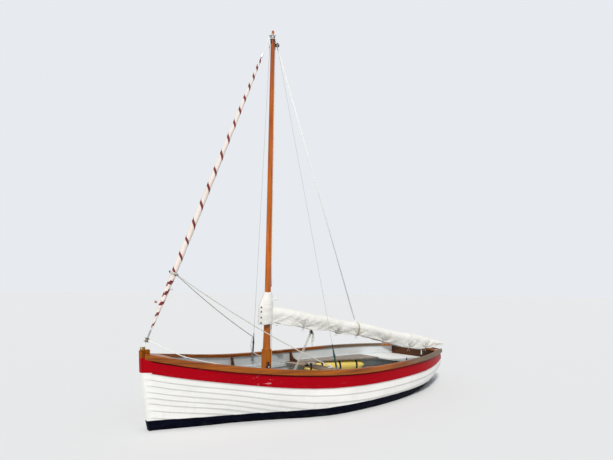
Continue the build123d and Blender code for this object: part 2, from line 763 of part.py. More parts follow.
def mast():
    """The mast in its step, with the band at its head and the rest for the boom's jaws."""
    half = MAST_HEEL / 2
    foot = STEP_TOP + CLEAR
    heel = block((MAST_X - half, -half, foot), (MAST_X + half, half, MAST_HEEL_TOP))
    heel = chamfer(heel.faces().sort_by(Axis.Z)[-1].edges(), 4)
    tenon = Pos(MAST_X, 0, foot - TENON_DEEP) * Box(TENON, TENON, TENON_DEEP + 1, align=STANDING)
    ends = [many_sided(MAST_R, MAST_HEEL_TOP - 1, SIDES), many_sided(MAST_TOP_R, MAST_TOP, SIDES)]
    spar = Pos(MAST_X, 0, 0) * skin(ends)
    tip = Pos(MAST_X, 0, MAST_TOP - 1) * Cone(MAST_TIP_R, MAST_TIP_END, MAST_TIP_TALL + 1, align=STANDING)
    save("mast", heel + tenon + spar + tip)
    long, wide = STEP_LONG / 2, STEP_WIDE / 2
    ends = []
    for x in (MAST_X - long, MAST_X + long):
        base = hog_top(x) + CLEAR
        ends.append([(x, -wide, base), (x, wide, base), (x, wide, STEP_TOP), (x, -wide, STEP_TOP)])
    mortise = Pos(MAST_X, 0, STEP_TOP) * Box(TENON + 2, TENON + 2, 2 * (TENON_DEEP + 2))
    save("mast_step", skin(ends) - mortise)
    inner = mast_radius(BAND_Z - BAND_TALL / 2) + CLEAR
    ring = Cylinder(inner + BAND_WALL, BAND_TALL) - Cylinder(inner, BAND_TALL + 2)
    for turn in (0, 90, 180, 270):
        tang = Box(TANG_REACH + 2, TANG_THICK, TANG_TALL, align=(Align.MIN, Align.CENTER, Align.CENTER))
        ring += Rot(0, 0, turn) * Pos(inner + BAND_WALL - 2, 0, 0) * tang
    save("masthead_band", Pos(MAST_X, 0, BAND_Z) * ring)
    jaw_low = BOOM_Z - JAW_TALL / 2 - CLEAR
    inner = mast_radius(jaw_low - REST_TALL) + CLEAR
    rest = Cylinder(inner + REST_WALL, REST_TALL) - Cylinder(inner, REST_TALL + 2)
    save("boom_rest", Pos(MAST_X, 0, jaw_low - REST_TALL / 2) * rest)


def shrouds():
    """Chainplates on the inwales, rope lanyards and wire shrouds to the masthead band."""
    top, _, _ = sheer_corner(SHROUD_X)
    y_face = inwale_face(SHROUD_X - CHAIN_WIDE / 2, SHROUD_X + CHAIN_WIDE / 2)
    high = top[2] + CHAIN_RISE
    aft, fore = SHROUD_X - CHAIN_WIDE / 2, SHROUD_X + CHAIN_WIDE / 2
    strap = block((aft, y_face - CHAIN_THICK, high - CHAIN_TALL), (fore, y_face, high))
    save("chainplates", *both_sides(strap))
    reach = mast_radius(BAND_Z) + BAND_WALL + TANG_REACH - 4
    foot = Vector(SHROUD_X, y_face - CHAIN_THICK - LANYARD_R - CLEAR - 3, high - 15)
    head = Vector(MAST_X, reach, BAND_Z - TANG_TALL / 2 - CLEAR)
    line = (head - foot).normalized()
    knot = foot + line * LANYARD_LONG
    save("lanyards", *both_sides(rod(tuple(foot), tuple(knot), LANYARD_R)))
    save("shrouds", *both_sides(rod(tuple(knot + line * CLEAR), tuple(head - line * 0.5), SHROUD_R)))


def headstay():
    """Stem fitting, tack strop, furling drum, furled jib, its swivel and the halyard above it."""
    stem_top = STEM_FACE[-1][1] + CLEAR
    fore = STEM_X + PAD_FORE
    pad = block((STEM_X - PAD_AFT, -PAD_HALF, stem_top), (fore, PAD_HALF, stem_top + STEM_PLATE))
    half = STEM_PLATE / 2
    lug = block((STEM_X - LUG_AFT, -half, stem_top), (fore, half, stem_top + LUG_TALL))
    eye_z = stem_top + LUG_TALL - EYE_DOWN
    eye = Pos(STEM_X + EYE_FORE, 0, eye_z) * Rot(90, 0, 0) * Cylinder(EYE_R, STEM_PLATE + 2)
    save("stem_fitting", pad + lug - eye)
    tack, head = Vector(TACK_X, 0, TACK_Z), Vector(HEAD_X, 0, BAND_Z)
    line = Plane(origin=tack, z_dir=head - tack)

    def piece(start, end, radius):
        return turned([(0, start), (radius, start), (radius, end), (0, end)], line)

    save("tack_strop", piece(STROP_FROM, DRUM_FROM - CLEAR, STROP_R))
    top = DRUM_FROM + DRUM_TALL
    spool = [
        (0, DRUM_FROM),
        (DRUM_R, DRUM_FROM),
        (DRUM_R, DRUM_FROM + DRUM_FLANGE),
        (DRUM_CORE, DRUM_FROM + DRUM_FLANGE),
        (DRUM_CORE, top - DRUM_FLANGE),
        (DRUM_R, top - DRUM_FLANGE),
        (DRUM_R, top),
        (JIB_NECK, top),
        (JIB_NECK, JIB_FROM - CLEAR),
        (0, JIB_FROM - CLEAR),
    ]
    save("furling_drum", turned(spool, line))
    long = JIB_TO - JIB_FROM
    rings = [many_sided(radius, JIB_FROM + long * share, SOFT_SIDES) for share, radius in JIB_ROLL]
    save("furled_jib", line * skin(rings))
    save("head_swivel", piece(JIB_TO + CLEAR, JIB_TO + SWIVEL_LONG, SWIVEL_R))
    save("jib_halyard", piece(JIB_TO + SWIVEL_LONG + CLEAR, HALYARD_TO, STROP_R))


def cover_top(reach):
    """The height of the cover's top at a distance aft of the mast."""
    low, high = next((a, b) for a, b in zip(COVER, COVER[1:]) if reach <= b[0])
    return low[1] + (high[1] - low[1]) * (reach - low[0]) / (high[0] - low[0])


def cover_section(reach, top, bottom, half):
    """The cover's section: narrow over the gathered sail, fuller below."""
    middle, tall = (top + bottom) / 2, (top - bottom) / 2
    turns = [2 * math.pi * k / COVER_SIDES for k in range(COVER_SIDES)]
    return [
        (reach, half * math.sin(a) * (1 - COVER_FULL * math.cos(a)), middle + tall * math.cos(a))
        for a in turns
    ]


def collar_section(z, fore, aft, half):
    """The collar's section: round behind the mast, drawn to a laced hem in front of it."""
    points = []
    for k in range(COLLAR_SIDES):
        share = 2 * k / COLLAR_SIDES - 1
        turn = math.pi * (1 - abs(share))
        nose = max(0, (abs(share) - 0.55) / 0.45)
        wide = half * math.sin(turn) ** (1 + 0.9 * nose) if abs(share) < 1 else 0
        x = (aft - fore) / 2 - (aft + fore) / 2 * math.cos(turn)
        points.append((-x, math.copysign(wide + COLLAR_HEM, share) if share > -1 else 0, z))
    return points


def boom():
    """The boom with its jaws, its canvas cover, the collar laced round the mast and the topping lift."""
    swing = Pos(MAST_X, 0, 0) * Rot(0, 0, 180 - BOOM_SWING)
    fall = math.tan(math.radians(BOOM_DROOP))
    start, end = (BOOM_FROM, 0, BOOM_Z - fall * BOOM_FROM), (BOOM_TO, 0, BOOM_Z - fall * BOOM_TO)
    inner = MAST_R + JAW_GAP
    jaw = Cylinder(inner + JAW_WALL, JAW_TALL) - Cylinder(inner, JAW_TALL + 2)
    jaw -= Pos(-inner - JAW_WALL, 0, 0) * Box(2 * JAW_WALL + inner, 2 * inner, JAW_TALL + 2)
    save("boom", swing * (rod(start, end, BOOM_R) + Pos(0, 0, BOOM_Z) * jaw))
    over = 40
    room = rod((start[0] - over, 0, start[2] + fall * over), (end[0] + 1, 0, end[2] - fall), BOOM_R + 1)
    save("boom_cover", swing * (skin([cover_section(*row) for row in COVER]) - room))
    collar_low, collar_top = COLLAR[0][0], COLLAR[-1][0]
    bore = Pos(0, 0, collar_low - 1) * Cylinder(inner, collar_top - collar_low + 2, align=STANDING)
    well_tall = BOOM_Z + JAW_TALL / 2 + CLEAR - collar_low + 1
    well = Pos(0, 0, collar_low - 1) * Cylinder(inner + JAW_WALL + CLEAR, well_tall, align=STANDING)
    face = COVER[0][0] - CLEAR
    out = COLLAR[0][1]
    beyond = block((face, -out, collar_low - 1), (face + out, out, collar_top + 1))
    collar = skin([collar_section(*row) for row in COLLAR])
    save("mast_collar", swing * (collar - bore - well - room - beyond))
    ring_top = BAND_Z - BAND_TALL / 2 - JAW_GAP
    ring_inner = mast_radius(ring_top - LIFT_RING_TALL) + JAW_GAP
    ring = Cylinder(ring_inner + LIFT_RING, LIFT_RING_TALL) - Cylinder(ring_inner, LIFT_RING_TALL + 2)
    ring_z = ring_top - LIFT_RING_TALL / 2
    foot = (LIFT_REACH, 0, cover_top(LIFT_REACH) + LIFT_R / 2 + CLEAR)
    lift = rod(foot, (ring_inner + LIFT_R, 0, ring_z), LIFT_R)
    save("topping_lift", swing * (lift + Pos(0, 0, ring_z) * ring))


def fittings():
    """Rowlock pads, rudder gudgeons and buoyancy bags."""
    long, wide, tall = ROWLOCK_PAD
    top, _, _ = sheer_corner(ROWLOCK_X)
    y_face = inwale_face(ROWLOCK_X - long / 2, ROWLOCK_X + long / 2)
    aft, fore = ROWLOCK_X - long / 2, ROWLOCK_X + long / 2
    pad = block((aft, y_face - wide, top[2] - tall), (fore, y_face, top[2]))
    bore = Pos(ROWLOCK_X, y_face - wide / 2, top[2] - tall / 2) * Cylinder(ROWLOCK_R, tall + 2)
    save("rowlock_pads", *both_sides(pad - bore))
    gudgeons = []
    for z in (UPPER_GUDGEON_Z, LOWER_GUDGEON_Z):
        back = TRANSOM_X - CLEAR
        strap = block((back - GUDGEON_PLATE, -20, z - GUDGEON_TALL / 2), (back, 20, z + GUDGEON_TALL / 2))
        x = back - GUDGEON_PLATE - GUDGEON_OUT + 1
        tube = Pos(x, 0, z) * Cylinder(GUDGEON_OUT, GUDGEON_TALL)
        gudgeons.append(strap + tube - Pos(x, 0, z) * Cylinder(GUDGEON_R, GUDGEON_TALL + 2))
    save("gudgeons", *gudgeons)
    z = SEAT_TOP - SEAT_THICK - BAG_R - CLEAR
    fore, aft = Vector(*BAG_FORE, z), Vector(*BAG_AFT, z)
    long = (fore - aft).length
    turns = [math.pi / 2 * k / BAG_STEPS for k in range(1, BAG_STEPS + 1)]
    end = [(BAG_R * math.sin(a), -BAG_R * math.cos(a)) for a in turns]
    rings = end + [(radius, long - height) for radius, height in end[::-1]]
    bag = Plane(origin=aft, z_dir=fore - aft) * skin([many_sided(*row, SOFT_SIDES) for row in rings])
    save("buoyancy_bags", *both_sides(bag))


for build in (
    planking,
    backbone,
    transom,
    rails,
    seats,
    floor,
    centreboard,
    mast,
    shrouds,
    headstay,
    boom,
    fittings,
):
    build()
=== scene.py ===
import logging
import math
import random
from dataclasses import dataclass, field
from enum import Enum
from typing import Callable, Iterable, Sequence

import bmesh
import bpy
from mathutils import Matrix, Vector, noise
from mathutils.bvhtree import BVHTree


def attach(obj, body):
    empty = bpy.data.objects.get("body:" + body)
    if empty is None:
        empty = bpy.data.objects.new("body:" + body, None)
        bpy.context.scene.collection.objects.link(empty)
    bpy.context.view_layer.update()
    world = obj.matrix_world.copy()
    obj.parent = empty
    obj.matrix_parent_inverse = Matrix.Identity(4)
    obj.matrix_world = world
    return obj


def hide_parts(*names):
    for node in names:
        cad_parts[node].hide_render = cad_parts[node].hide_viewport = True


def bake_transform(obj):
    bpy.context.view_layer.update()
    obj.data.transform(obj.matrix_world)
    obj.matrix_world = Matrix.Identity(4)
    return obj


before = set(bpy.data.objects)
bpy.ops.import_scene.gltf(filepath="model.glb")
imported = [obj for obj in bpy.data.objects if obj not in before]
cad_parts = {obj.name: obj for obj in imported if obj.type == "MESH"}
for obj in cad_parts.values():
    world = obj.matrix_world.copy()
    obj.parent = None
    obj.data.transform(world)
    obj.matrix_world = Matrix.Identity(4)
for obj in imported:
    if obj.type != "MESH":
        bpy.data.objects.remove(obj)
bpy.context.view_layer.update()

LOG = logging.getLogger("cockle_boat")
Colour = tuple[float, float, float]
Point = Sequence[float]
Piece = bpy.types.Object
Finish = bpy.types.Material
Socket = bpy.types.NodeSocket
X_AXIS, Y_AXIS, Z_AXIS = Vector((1, 0, 0)), Vector((0, 1, 0)), Vector((0, 0, 1))
PAINT_IOR = 1.45
HARD_EDGE = 36.0
TOP_STRAKE = "strake_12"


class Body(str, Enum):
    """The bodies that the joints move."""

    HULL = "hull"
    BOOM = "boom"
    JIB = "jib"


class Side(Enum):
    """The two sides of the boat, with the sign of their y."""

    PORT = 1
    STARBOARD = -1


def paint_chip(red: int, green: int, blue: int) -> Colour:
    """Turns a display colour into the shader's linear colour.

    Args:
        red, green, blue: The display values, from 0 to 255.

    Returns:
        The linear colour.
    """
    return tuple(((v / 255 + 0.055) / 1.055) ** 2.4 if v > 10 else v / 255 / 12.92 for v in (red, green, blue))


def dimmed(colour: Colour, share: float) -> Colour:
    """A share of a colour's light."""
    return tuple(c * share for c in colour)


WHITE = paint_chip(243, 243, 240)
CRIMSON = paint_chip(168, 0, 20)
NAVY = paint_chip(2, 4, 22)
INSIDE_GREY = paint_chip(226, 232, 234)
HONEY = paint_chip(182, 98, 8)
TREACLE = paint_chip(112, 54, 4)
DRIFTWOOD = paint_chip(128, 106, 84)
OAK_LIGHT = paint_chip(168, 116, 66)
OAK_DARK = paint_chip(84, 50, 26)


class Recipe:
    """A material being made, with short calls for the nodes that the finishes share."""

    def __init__(self, name: str, **sockets: float) -> None:
        """Starts the material.

        Args:
            name: The material's name.
            sockets: Uniform values for the shader, with _ for the spaces in a socket's name.
        """
        self.material = bpy.data.materials.new(name)
        self.material.use_nodes = True
        self.tree = self.material.node_tree
        self.tree.nodes.clear()
        self.shader = self.node("BsdfPrincipled", **sockets)
        self.node("OutputMaterial", Surface=self.shader.outputs[0])

    def link(self, value: object, socket: Socket) -> None:
        """Joins a value to a socket.

        Args:
            value: An output, a number or a colour.
            socket: The socket that takes it.
        """
        if isinstance(value, Socket):
            self.tree.links.new(value, socket)
        elif isinstance(value, (int, float)):
            socket.default_value = value
        else:
            socket.default_value = (*value, 1.0) if len(socket.default_value) == 4 else value

    def node(self, kind: str, **values: object) -> bpy.types.Node:
        """Adds a node.

        Args:
            kind: The kind of node.
            values: What its sockets take, with _ for the spaces in a socket's name.

        Returns:
            The node.
        """
        node = self.tree.nodes.new("ShaderNode" + kind)
        for key, value in values.items():
            self.link(value, node.inputs[key.replace("_", " ")])
        return node

    def place(self, scale: Point = (1, 1, 1), run: bool = False) -> Socket:
        """A place on the piece, in metres.

        Args:
            scale: What each axis is multiplied by.
            run: True for the length along a piece and the way round it, in place of x, y and z.

        Returns:
            The mapped vector.
        """
        if run:
            source = self.node("Attribute")
            source.attribute_name = "run"
            vector = source.outputs["Vector"]
        else:
            vector = self.node("TexCoord").outputs["Object"]
        return self.node("Mapping", Vector=vector, Scale=scale).outputs["Vector"]

    def axis(self, vector: Socket, index: int) -> Socket:
        """One of a vector's three values."""
        return self.node("SeparateXYZ", Vector=vector).outputs[index]

    def noise(self, vector: Socket, scale: float, detail: float = 4, rough: float = 0.55, warp: float = 0) -> Socket:
        """Soft random patches.

        Args:
            vector: The place.
            scale: How many patches there are in a metre.
            detail, rough: How many finer layers there are, and how strong they are.
            warp: How much the patches are drawn out.

        Returns:
            A value from 0 to 1.
        """
        values = {"Vector": vector, "Scale": scale, "Detail": detail, "Roughness": rough, "Distortion": warp}
        return self.node("TexNoise", **values).outputs[0]

    def cells(self, vector: Socket, scale: float) -> Socket:
        """The distance to the nearest of scattered points."""
        return self.node("TexVoronoi", Vector=vector, Scale=scale).outputs["Distance"]

    def sums(self, kind: str, a: object, b: object = 0.0) -> Socket:
        """One step of arithmetic.

        Args:
            kind: What is done, such as MULTIPLY or SINE.
            a, b: The two values.

        Returns:
            The result.
        """
        node = self.node("Math")
        node.operation = kind
        self.link(a, node.inputs[0])
        self.link(b, node.inputs[1])
        return node.outputs[0]

    def times(self, a: object, b: object) -> Socket:
        """The product of two values."""
        return self.sums("MULTIPLY", a, b)

    def grade(self, value: object, low: float, high: float, start: float = 0, end: float = 1) -> Socket:
        """Maps a value smoothly from one span to another, held at both ends.

        Args:
            value: The value.
            low, high: The span that it comes from.
            start, end: The span that it goes to.

        Returns:
            The mapped value.
        """
        node = self.node("MapRange", Value=value, From_Min=low, From_Max=high, To_Min=start, To_Max=end)
        node.interpolation_type = "SMOOTHSTEP"
        return node.outputs[0]

    def mix(self, share: object, a: object, b: object) -> Socket:
        """Mixes two colours.

        Args:
            share: How much there is of the second one.
            a, b: The two colours.

        Returns:
            The mixed colour.
        """
        node = self.node("Mix")
        node.data_type = "RGBA"
        self.link(share, node.inputs[0])
        self.link(a, node.inputs[6])
        self.link(b, node.inputs[7])
        return node.outputs[2]

    def bump(self, height: object, depth: float, below: object = None, strength: float = 1.0) -> Socket:
        """A surface relief.

        Args:
            height: The relief from 0 to 1.
            depth: How deep it is, in metres.
            below: Another relief that this one lies on.
            strength: How much of it shows.

        Returns:
            The normal.
        """
        node = self.node("Bump", Height=height, Distance=depth, Strength=strength)
        if below is not None:
            self.tree.links.new(below, node.inputs["Normal"])
        return node.outputs[0]

    def done(self, colour: object, rough: object, normal: object = None) -> Finish:
        """Joins the results to the shader.

        Args:
            colour, rough: The colour and the roughness.
            normal: The relief, or None.

        Returns:
            The material.
        """
        self.link(colour, self.shader.inputs["Base Color"])
        self.link(rough, self.shader.inputs["Roughness"])
        if normal is not None:
            self.tree.links.new(normal, self.shader.inputs["Normal"])
        return self.material


@dataclass(frozen=True)
class Timber:
    """Wood with its grain along the run of the piece, oiled, varnished or bare.

    Args:
        name: The material's name.
        light, dark: The colours between and on the growth lines.
        gloss: The clear coat, from 0 for bare wood to 1 for fresh varnish.
        worn: How much grey bare wood shows through.
        worn_from, worn_to: The x where the added wear of the stern starts to fade, and where it ends.
        grain: How fine the grain is.
    """

    name: str
    light: Colour
    dark: Colour
    gloss: float = 0.8
    worn: float = 0.2
    worn_from: float = 9.0
    worn_to: float = 9.1
    grain: float = 1.0

    def build(self) -> Finish:
        """Makes the material.

        Returns:
            The material.
        """
        book = Recipe(self.name, Coat_Weight=self.gloss * 0.4, Coat_Roughness=0.16, IOR=1.3)
        run = book.place((1.6, 1, 1), run=True)
        streaks = book.noise(book.place((2.4, 110 * self.grain, 110 * self.grain), run=True), 1.0, 5, 0.6, 0.5)
        bands = book.noise(book.place((0.7, 24 * self.grain, 24 * self.grain), run=True), 1.0, 3, 0.5, 1.2)
        pores = book.noise(book.place((16, 700, 700), run=True), 1.0, 2, 0.6)
        boards = book.noise(run, 1.3, 2)
        grain = book.sums("ADD", book.times(streaks, 0.55), book.times(bands, 0.45))
        colour = book.mix(book.grade(grain, 0.34, 0.66), self.dark, self.light)
        colour = book.mix(book.grade(boards, 0.35, 0.7, 0, 0.35), colour, self.dark)
        colour = book.mix(book.grade(pores, 0.62, 0.75, 0, 0.5), colour, self.dark)
        where = book.axis(book.place(), 0)
        aft = book.grade(where, self.worn_from, self.worn_to, 1, 0) if self.worn_from < 5 else 0.0
        patch = book.noise(book.place((3, 16, 16)), 1.0, 5, 0.65, 0.6)
        bare = book.grade(book.sums("ADD", patch, book.times(aft, 0.55)), 0.72 - self.worn * 0.4, 0.86)
        silver = book.mix(book.grade(streaks, 0.35, 0.65), dimmed(DRIFTWOOD, 0.55), DRIFTWOOD)
        colour = book.mix(bare, colour, silver)
        rough = book.grade(bare, 0, 1, 0.62 - 0.34 * self.gloss, 0.78)
        relief = book.bump(grain, 0.0006)
        relief = book.bump(patch, 0.002, relief, 0.4)
        return book.done(colour, rough, relief)


@dataclass(frozen=True)
class HullPaint:
    """Yacht enamel over planking: one colour above, another below a sharp painted line.

    Args:
        name: The material's name.
        above, below: The colours over and under the line.
        line: The height of the painted line.
        dirt: How much grime and scuffing shows.
        scuffs: The x of a patch of white scuff marks, or None.
        top, top_line: A third colour, and the height where it starts.
        cap_line: The height where bare varnished wood starts, or None.
        shade_below: The depth below a strake's upper edge where the painted shadow of the rail ends, or None.
    """

    name: str
    above: Colour
    below: Colour = NAVY
    line: float = 0.106
    dirt: float = 0.16
    scuffs: float | None = None
    top: Colour | None = None
    top_line: float = 9.0
    cap_line: float | None = None
    shade_below: float | None = None

    def build(self) -> Finish:
        """Makes the material.

        Returns:
            The material.
        """
        book = Recipe(self.name, Coat_Weight=0.08, Coat_Roughness=0.1, IOR=1.06)
        place = book.place()
        height = book.axis(place, 2)
        waver = book.times(book.sums("SUBTRACT", book.noise(book.place((2, 2, 9)), 3.0, 3), 0.5), 0.008)
        level = book.sums("ADD", height, waver)
        blotch = book.noise(book.place((1.3, 2, 3)), 1.6, 4, 0.6)
        brush = book.noise(book.place((3, 60, 120)), 1.0, 3, 0.6)
        runs = book.noise(book.place((26, 26, 1.2)), 1.0, 4, 0.65)
        shade = dimmed(self.above, 0.80)
        colour = book.mix(book.grade(blotch, 0.35, 0.75, 0, 0.45), self.above, shade)
        low = book.grade(height, self.line + 0.32, self.line, 0, 1)
        grime = book.times(book.grade(runs, 0.5, 0.8), low)
        stain = book.times(grime, self.dirt)
        colour = book.mix(stain, colour, paint_chip(148, 138, 112))
        if self.top is not None:
            colour = book.mix(book.grade(level, self.top_line - 0.001, self.top_line + 0.001), colour, self.top)
        if self.cap_line is not None:
            grain = book.grade(book.noise(book.place((30, 90, 3)), 1.0, 4), 0.35, 0.65)
            capped = book.grade(level, self.cap_line - 0.001, self.cap_line + 0.001)
            colour = book.mix(capped, colour, book.mix(grain, TREACLE, HONEY))
        if self.scuffs is not None:
            colour = self.scuffed(book, colour)
        # Painted shadow of the rail: the strake's top band is darkened to near black.
        if self.shade_below is not None:
            under = book.grade(book.axis(book.place(run=True), 2), self.shade_below, self.shade_below + 0.010, 0.85, 0)
            colour = book.mix(under, colour, paint_chip(26, 8, 6))
        slime = book.grade(book.noise(book.place((9, 9, 22)), 1.0, 5, 0.7), 0.46, 0.72)
        wet = book.grade(height, 0.0, 0.07, 1, 0)
        bottom = book.mix(book.times(slime, 0.35), self.below, paint_chip(22, 28, 50))
        bottom = book.mix(book.times(book.times(wet, slime), 0.6), bottom, paint_chip(44, 50, 34))
        over = book.grade(level, self.line - 0.0012, self.line + 0.0012)
        colour = book.mix(over, bottom, colour)
        rough = book.grade(brush, 0.3, 0.7, 0.24, 0.42)
        rough = book.sums("ADD", rough, book.times(book.sums("SUBTRACT", 1.0, over), 0.3))
        relief = book.bump(brush, 0.0005)
        relief = book.bump(book.noise(book.place((4, 9, 14)), 1.0, 2), 0.004, relief, 0.25)
        return book.done(colour, rough, relief)

    def scuffed(self, book: Recipe, colour: object) -> Socket:
        """Adds bare white scuffs and thin scratches where the side has been rubbed.

        Args:
            book: The material in the making.
            colour: The colour under the scuffs.

        Returns:
            The colour with them.
        """
        off = book.sums("ABSOLUTE", book.sums("SUBTRACT", book.axis(book.place(), 0), self.scuffs))
        near = book.grade(off, 0.05, 0.32, 1, 0)
        flakes = book.grade(book.noise(book.place((9, 9, 30)), 1.0, 5, 0.75, 1.0), 0.62, 0.68)
        pale = book.mix(0.72, colour, paint_chip(236, 190, 196))
        colour = book.mix(book.times(flakes, near), colour, pale)
        lines = book.grade(book.noise(book.place((3, 3, 150)), 1.0, 3, 0.7, 0.4), 0.68, 0.73)
        return book.mix(book.times(lines, 0.32), colour, pale)


@dataclass(frozen=True)
class SatinPaint:
    """Satin paint on boards inside the boat, with brush marks and grime in patches.

    Args:
        name: The material's name.
        colour, grime: The paint's and the grime's colours.
        dirt: How much grime shows.
    """

    name: str
    colour: Colour
    grime: Colour = paint_chip(150, 150, 144)
    dirt: float = 0.3

    def build(self) -> Finish:
        """Makes the material.

        Returns:
            The material.
        """
        book = Recipe(self.name, IOR=PAINT_IOR)
        blotch = book.noise(book.place((2, 3, 3)), 1.4, 5, 0.62, 0.3)
        brush = book.noise(book.place((4, 70, 90)), 1.0, 3, 0.6)
        low = book.grade(book.axis(book.place(), 2), -0.12, 0.28, 1, 0.25)
        colour = book.mix(book.grade(blotch, 0.3, 0.75, 0, 0.5), self.colour, dimmed(self.colour, 0.88))
        spots = book.grade(book.noise(book.place(), 38, 4, 0.7), 0.6, 0.72, 0, 0.5)
        dirt = book.times(book.grade(blotch, 0.42, 0.7), book.times(low, self.dirt))
        colour = book.mix(dirt, colour, self.grime)
        colour = book.mix(book.times(spots, self.dirt), colour, self.grime)
        rough = book.grade(blotch, 0.3, 0.7, 0.42, 0.62)
        relief = book.bump(brush, 0.0005)
        return book.done(colour, rough, relief)


@dataclass(frozen=True)
class Cloth:
    """Woven cloth with a fine weave, soft stains and worn creases.

    Args:
        name: The material's name.
        colour, stain: The cloth's and its stains' colours.
        thread: The distance between threads, in metres.
        sheen: How much the cloth lights up at its edges.
        rough: Its roughness.
        stains: How much its stains show.
    """

    name: str
    colour: Colour
    stain: Colour
    thread: float = 0.0016
    sheen: float = 0.15
    rough: float = 0.82
    stains: float = 0.4

    def build(self) -> Finish:
        """Makes the material.

        Returns:
            The material.
        """
        book = Recipe(self.name, Sheen_Weight=self.sheen, Sheen_Roughness=0.5, IOR=1.4)
        run = book.place(run=True)
        pitch = math.tau / self.thread
        warp = book.sums("SINE", book.times(book.axis(run, 0), pitch))
        weft = book.sums("SINE", book.times(book.axis(run, 1), pitch))
        weave = book.times(warp, weft)
        blotch = book.noise(book.place(), 3.2, 5, 0.6, 0.4)
        fine = book.noise(book.place(), 60, 3, 0.6)
        creases = book.noise(book.place((5, 5, 5)), 3.0, 4, 0.55, 1.4)
        colour = book.mix(book.grade(blotch, 0.42, 0.8, 0, self.stains), self.colour, self.stain)
        colour = book.mix(book.grade(fine, 0.5, 0.8, 0, 0.25), colour, dimmed(self.colour, 0.8))
        # Painted shade: the weave's low points are darkened a little.
        colour = book.mix(book.grade(weave, -1, 1, 0.07, 0), colour, dimmed(self.colour, 0.4))
        relief = book.bump(weave, 0.00035)
        relief = book.bump(creases, 0.006, relief, 0.35)
        return book.done(colour, self.rough, relief)


@dataclass(frozen=True)
class RopeLay:
    """Laid or braided rope: strands wound round its run, with painted shade between them, and worn fibres.

    Args:
        name: The material's name.
        colour: The rope's colour.
        pitch: The length of one turn of a strand.
        strands: How many strands lie round it.
        fleck: The colour of its marker yarn.
    """

    name: str
    colour: Colour
    pitch: float = 0.03
    strands: int = 3
    fleck: Colour | None = None

    def build(self) -> Finish:
        """Makes the material.

        Returns:
            The material.
        """
        book = Recipe(self.name, Sheen_Weight=0.2, Sheen_Roughness=0.5, IOR=1.4)
        run = book.place(run=True)
        along = book.times(book.axis(run, 0), math.tau / self.pitch)
        round_it = book.times(book.axis(run, 1), math.tau * self.strands)
        lay = book.sums("SINE", book.sums("ADD", along, round_it))
        cross = book.sums("SINE", book.sums("SUBTRACT", along, round_it))
        both = book.sums("ADD", book.sums("ABSOLUTE", lay), book.sums("ABSOLUTE", cross))
        strand = book.times(both, 0.5)
        fibre = book.noise(book.place((300, 300, 300)), 1.0, 2)
        soil = book.noise(book.place(), 6, 4, 0.6)
        # Painted shade: the hollows between the strands are darker than the strands.
        colour = book.mix(book.grade(strand, 0.1, 0.75), dimmed(self.colour, 0.78), self.colour)
        colour = book.mix(book.grade(soil, 0.45, 0.75, 0, 0.2), colour, dimmed(self.colour, 0.7))
        if self.fleck is not None:
            colour = book.mix(book.grade(lay, 0.86, 0.93), colour, self.fleck)
        relief = book.bump(strand, 0.0005)
        relief = book.bump(fibre, 0.0002, relief, 0.5)
        return book.done(colour, 0.85, relief)


@dataclass(frozen=True)
class Metal:
    """Ship's metal: galvanised, stainless or bronze, with dulled patches and small scratches.

    Args:
        name: The material's name.
        colour, tarnish: The clean and the dulled colours.
        rough: The roughness where it is clean.
        age: How much dulled metal shows.
    """

    name: str
    colour: Colour
    tarnish: Colour
    rough: float = 0.38
    age: float = 0.5

    def build(self) -> Finish:
        """Makes the material.

        Returns:
            The material.
        """
        book = Recipe(self.name, Metallic=1.0)
        patches = book.noise(book.place(), 22, 5, 0.65, 0.6)
        scratch = book.noise(book.place((40, 40, 900)), 1.0, 3, 0.6)
        spangle = book.cells(book.place(), 120)
        colour = book.mix(book.grade(patches, 0.42, 0.7, 0, self.age), self.colour, self.tarnish)
        colour = book.mix(book.grade(spangle, 0.2, 0.7, 0, 0.25), colour, dimmed(self.colour, 0.7))
        rough = book.grade(patches, 0.3, 0.7, self.rough, min(1.0, self.rough + 0.3))
        relief = book.bump(scratch, 0.0003)
        relief = book.bump(patches, 0.0008, relief, 0.5)
        return book.done(colour, rough, relief)


@dataclass(frozen=True)
class Moulded:
    """Moulded plastic or coated cloth with a fine grain and dull handling marks.

    Args:
        name: The material's name.
        colour: Its colour.
        rough: Its roughness where it isn't marked.
        relief: The depth of its grain.
    """

    name: str
    colour: Colour
    rough: float = 0.45
    relief: float = 0.0004

    def build(self) -> Finish:
        """Makes the material.

        Returns:
            The material.
        """
        book = Recipe(self.name, IOR=1.46)
        grain = book.noise(book.place(), 900, 2, 0.5)
        marks = book.noise(book.place(), 14, 5, 0.65, 0.5)
        crumple = book.noise(book.place(), 26, 4, 0.6, 0.9)
        dull = tuple(c * 0.66 + 0.02 for c in self.colour)
        colour = book.mix(book.grade(marks, 0.4, 0.75, 0, 0.4), self.colour, dull)
        rough = book.grade(marks, 0.3, 0.7, self.rough, self.rough + 0.22)
        relief = book.bump(grain, self.relief)
        relief = book.bump(crumple, 0.004, relief, 0.3)
        return book.done(colour, rough, relief)


@dataclass(frozen=True)
class StudioGround:
    """Plain pale ground.

    Args:
        name: The material's name.
        colour: Its colour.
    """

    name: str = "studio_ground"
    colour: Colour = (0.80, 0.81, 0.82)

    def build(self) -> Finish:
        """Makes the material.

        Returns:
            The material.
        """
        book = Recipe(self.name, IOR=1.3)
        soft = book.noise(book.place(), 0.6, 2)
        colour = book.mix(book.grade(soft, 0.3, 0.7, 0, 0.04), self.colour, dimmed(self.colour, 0.9))
        return book.done(colour, 0.9)


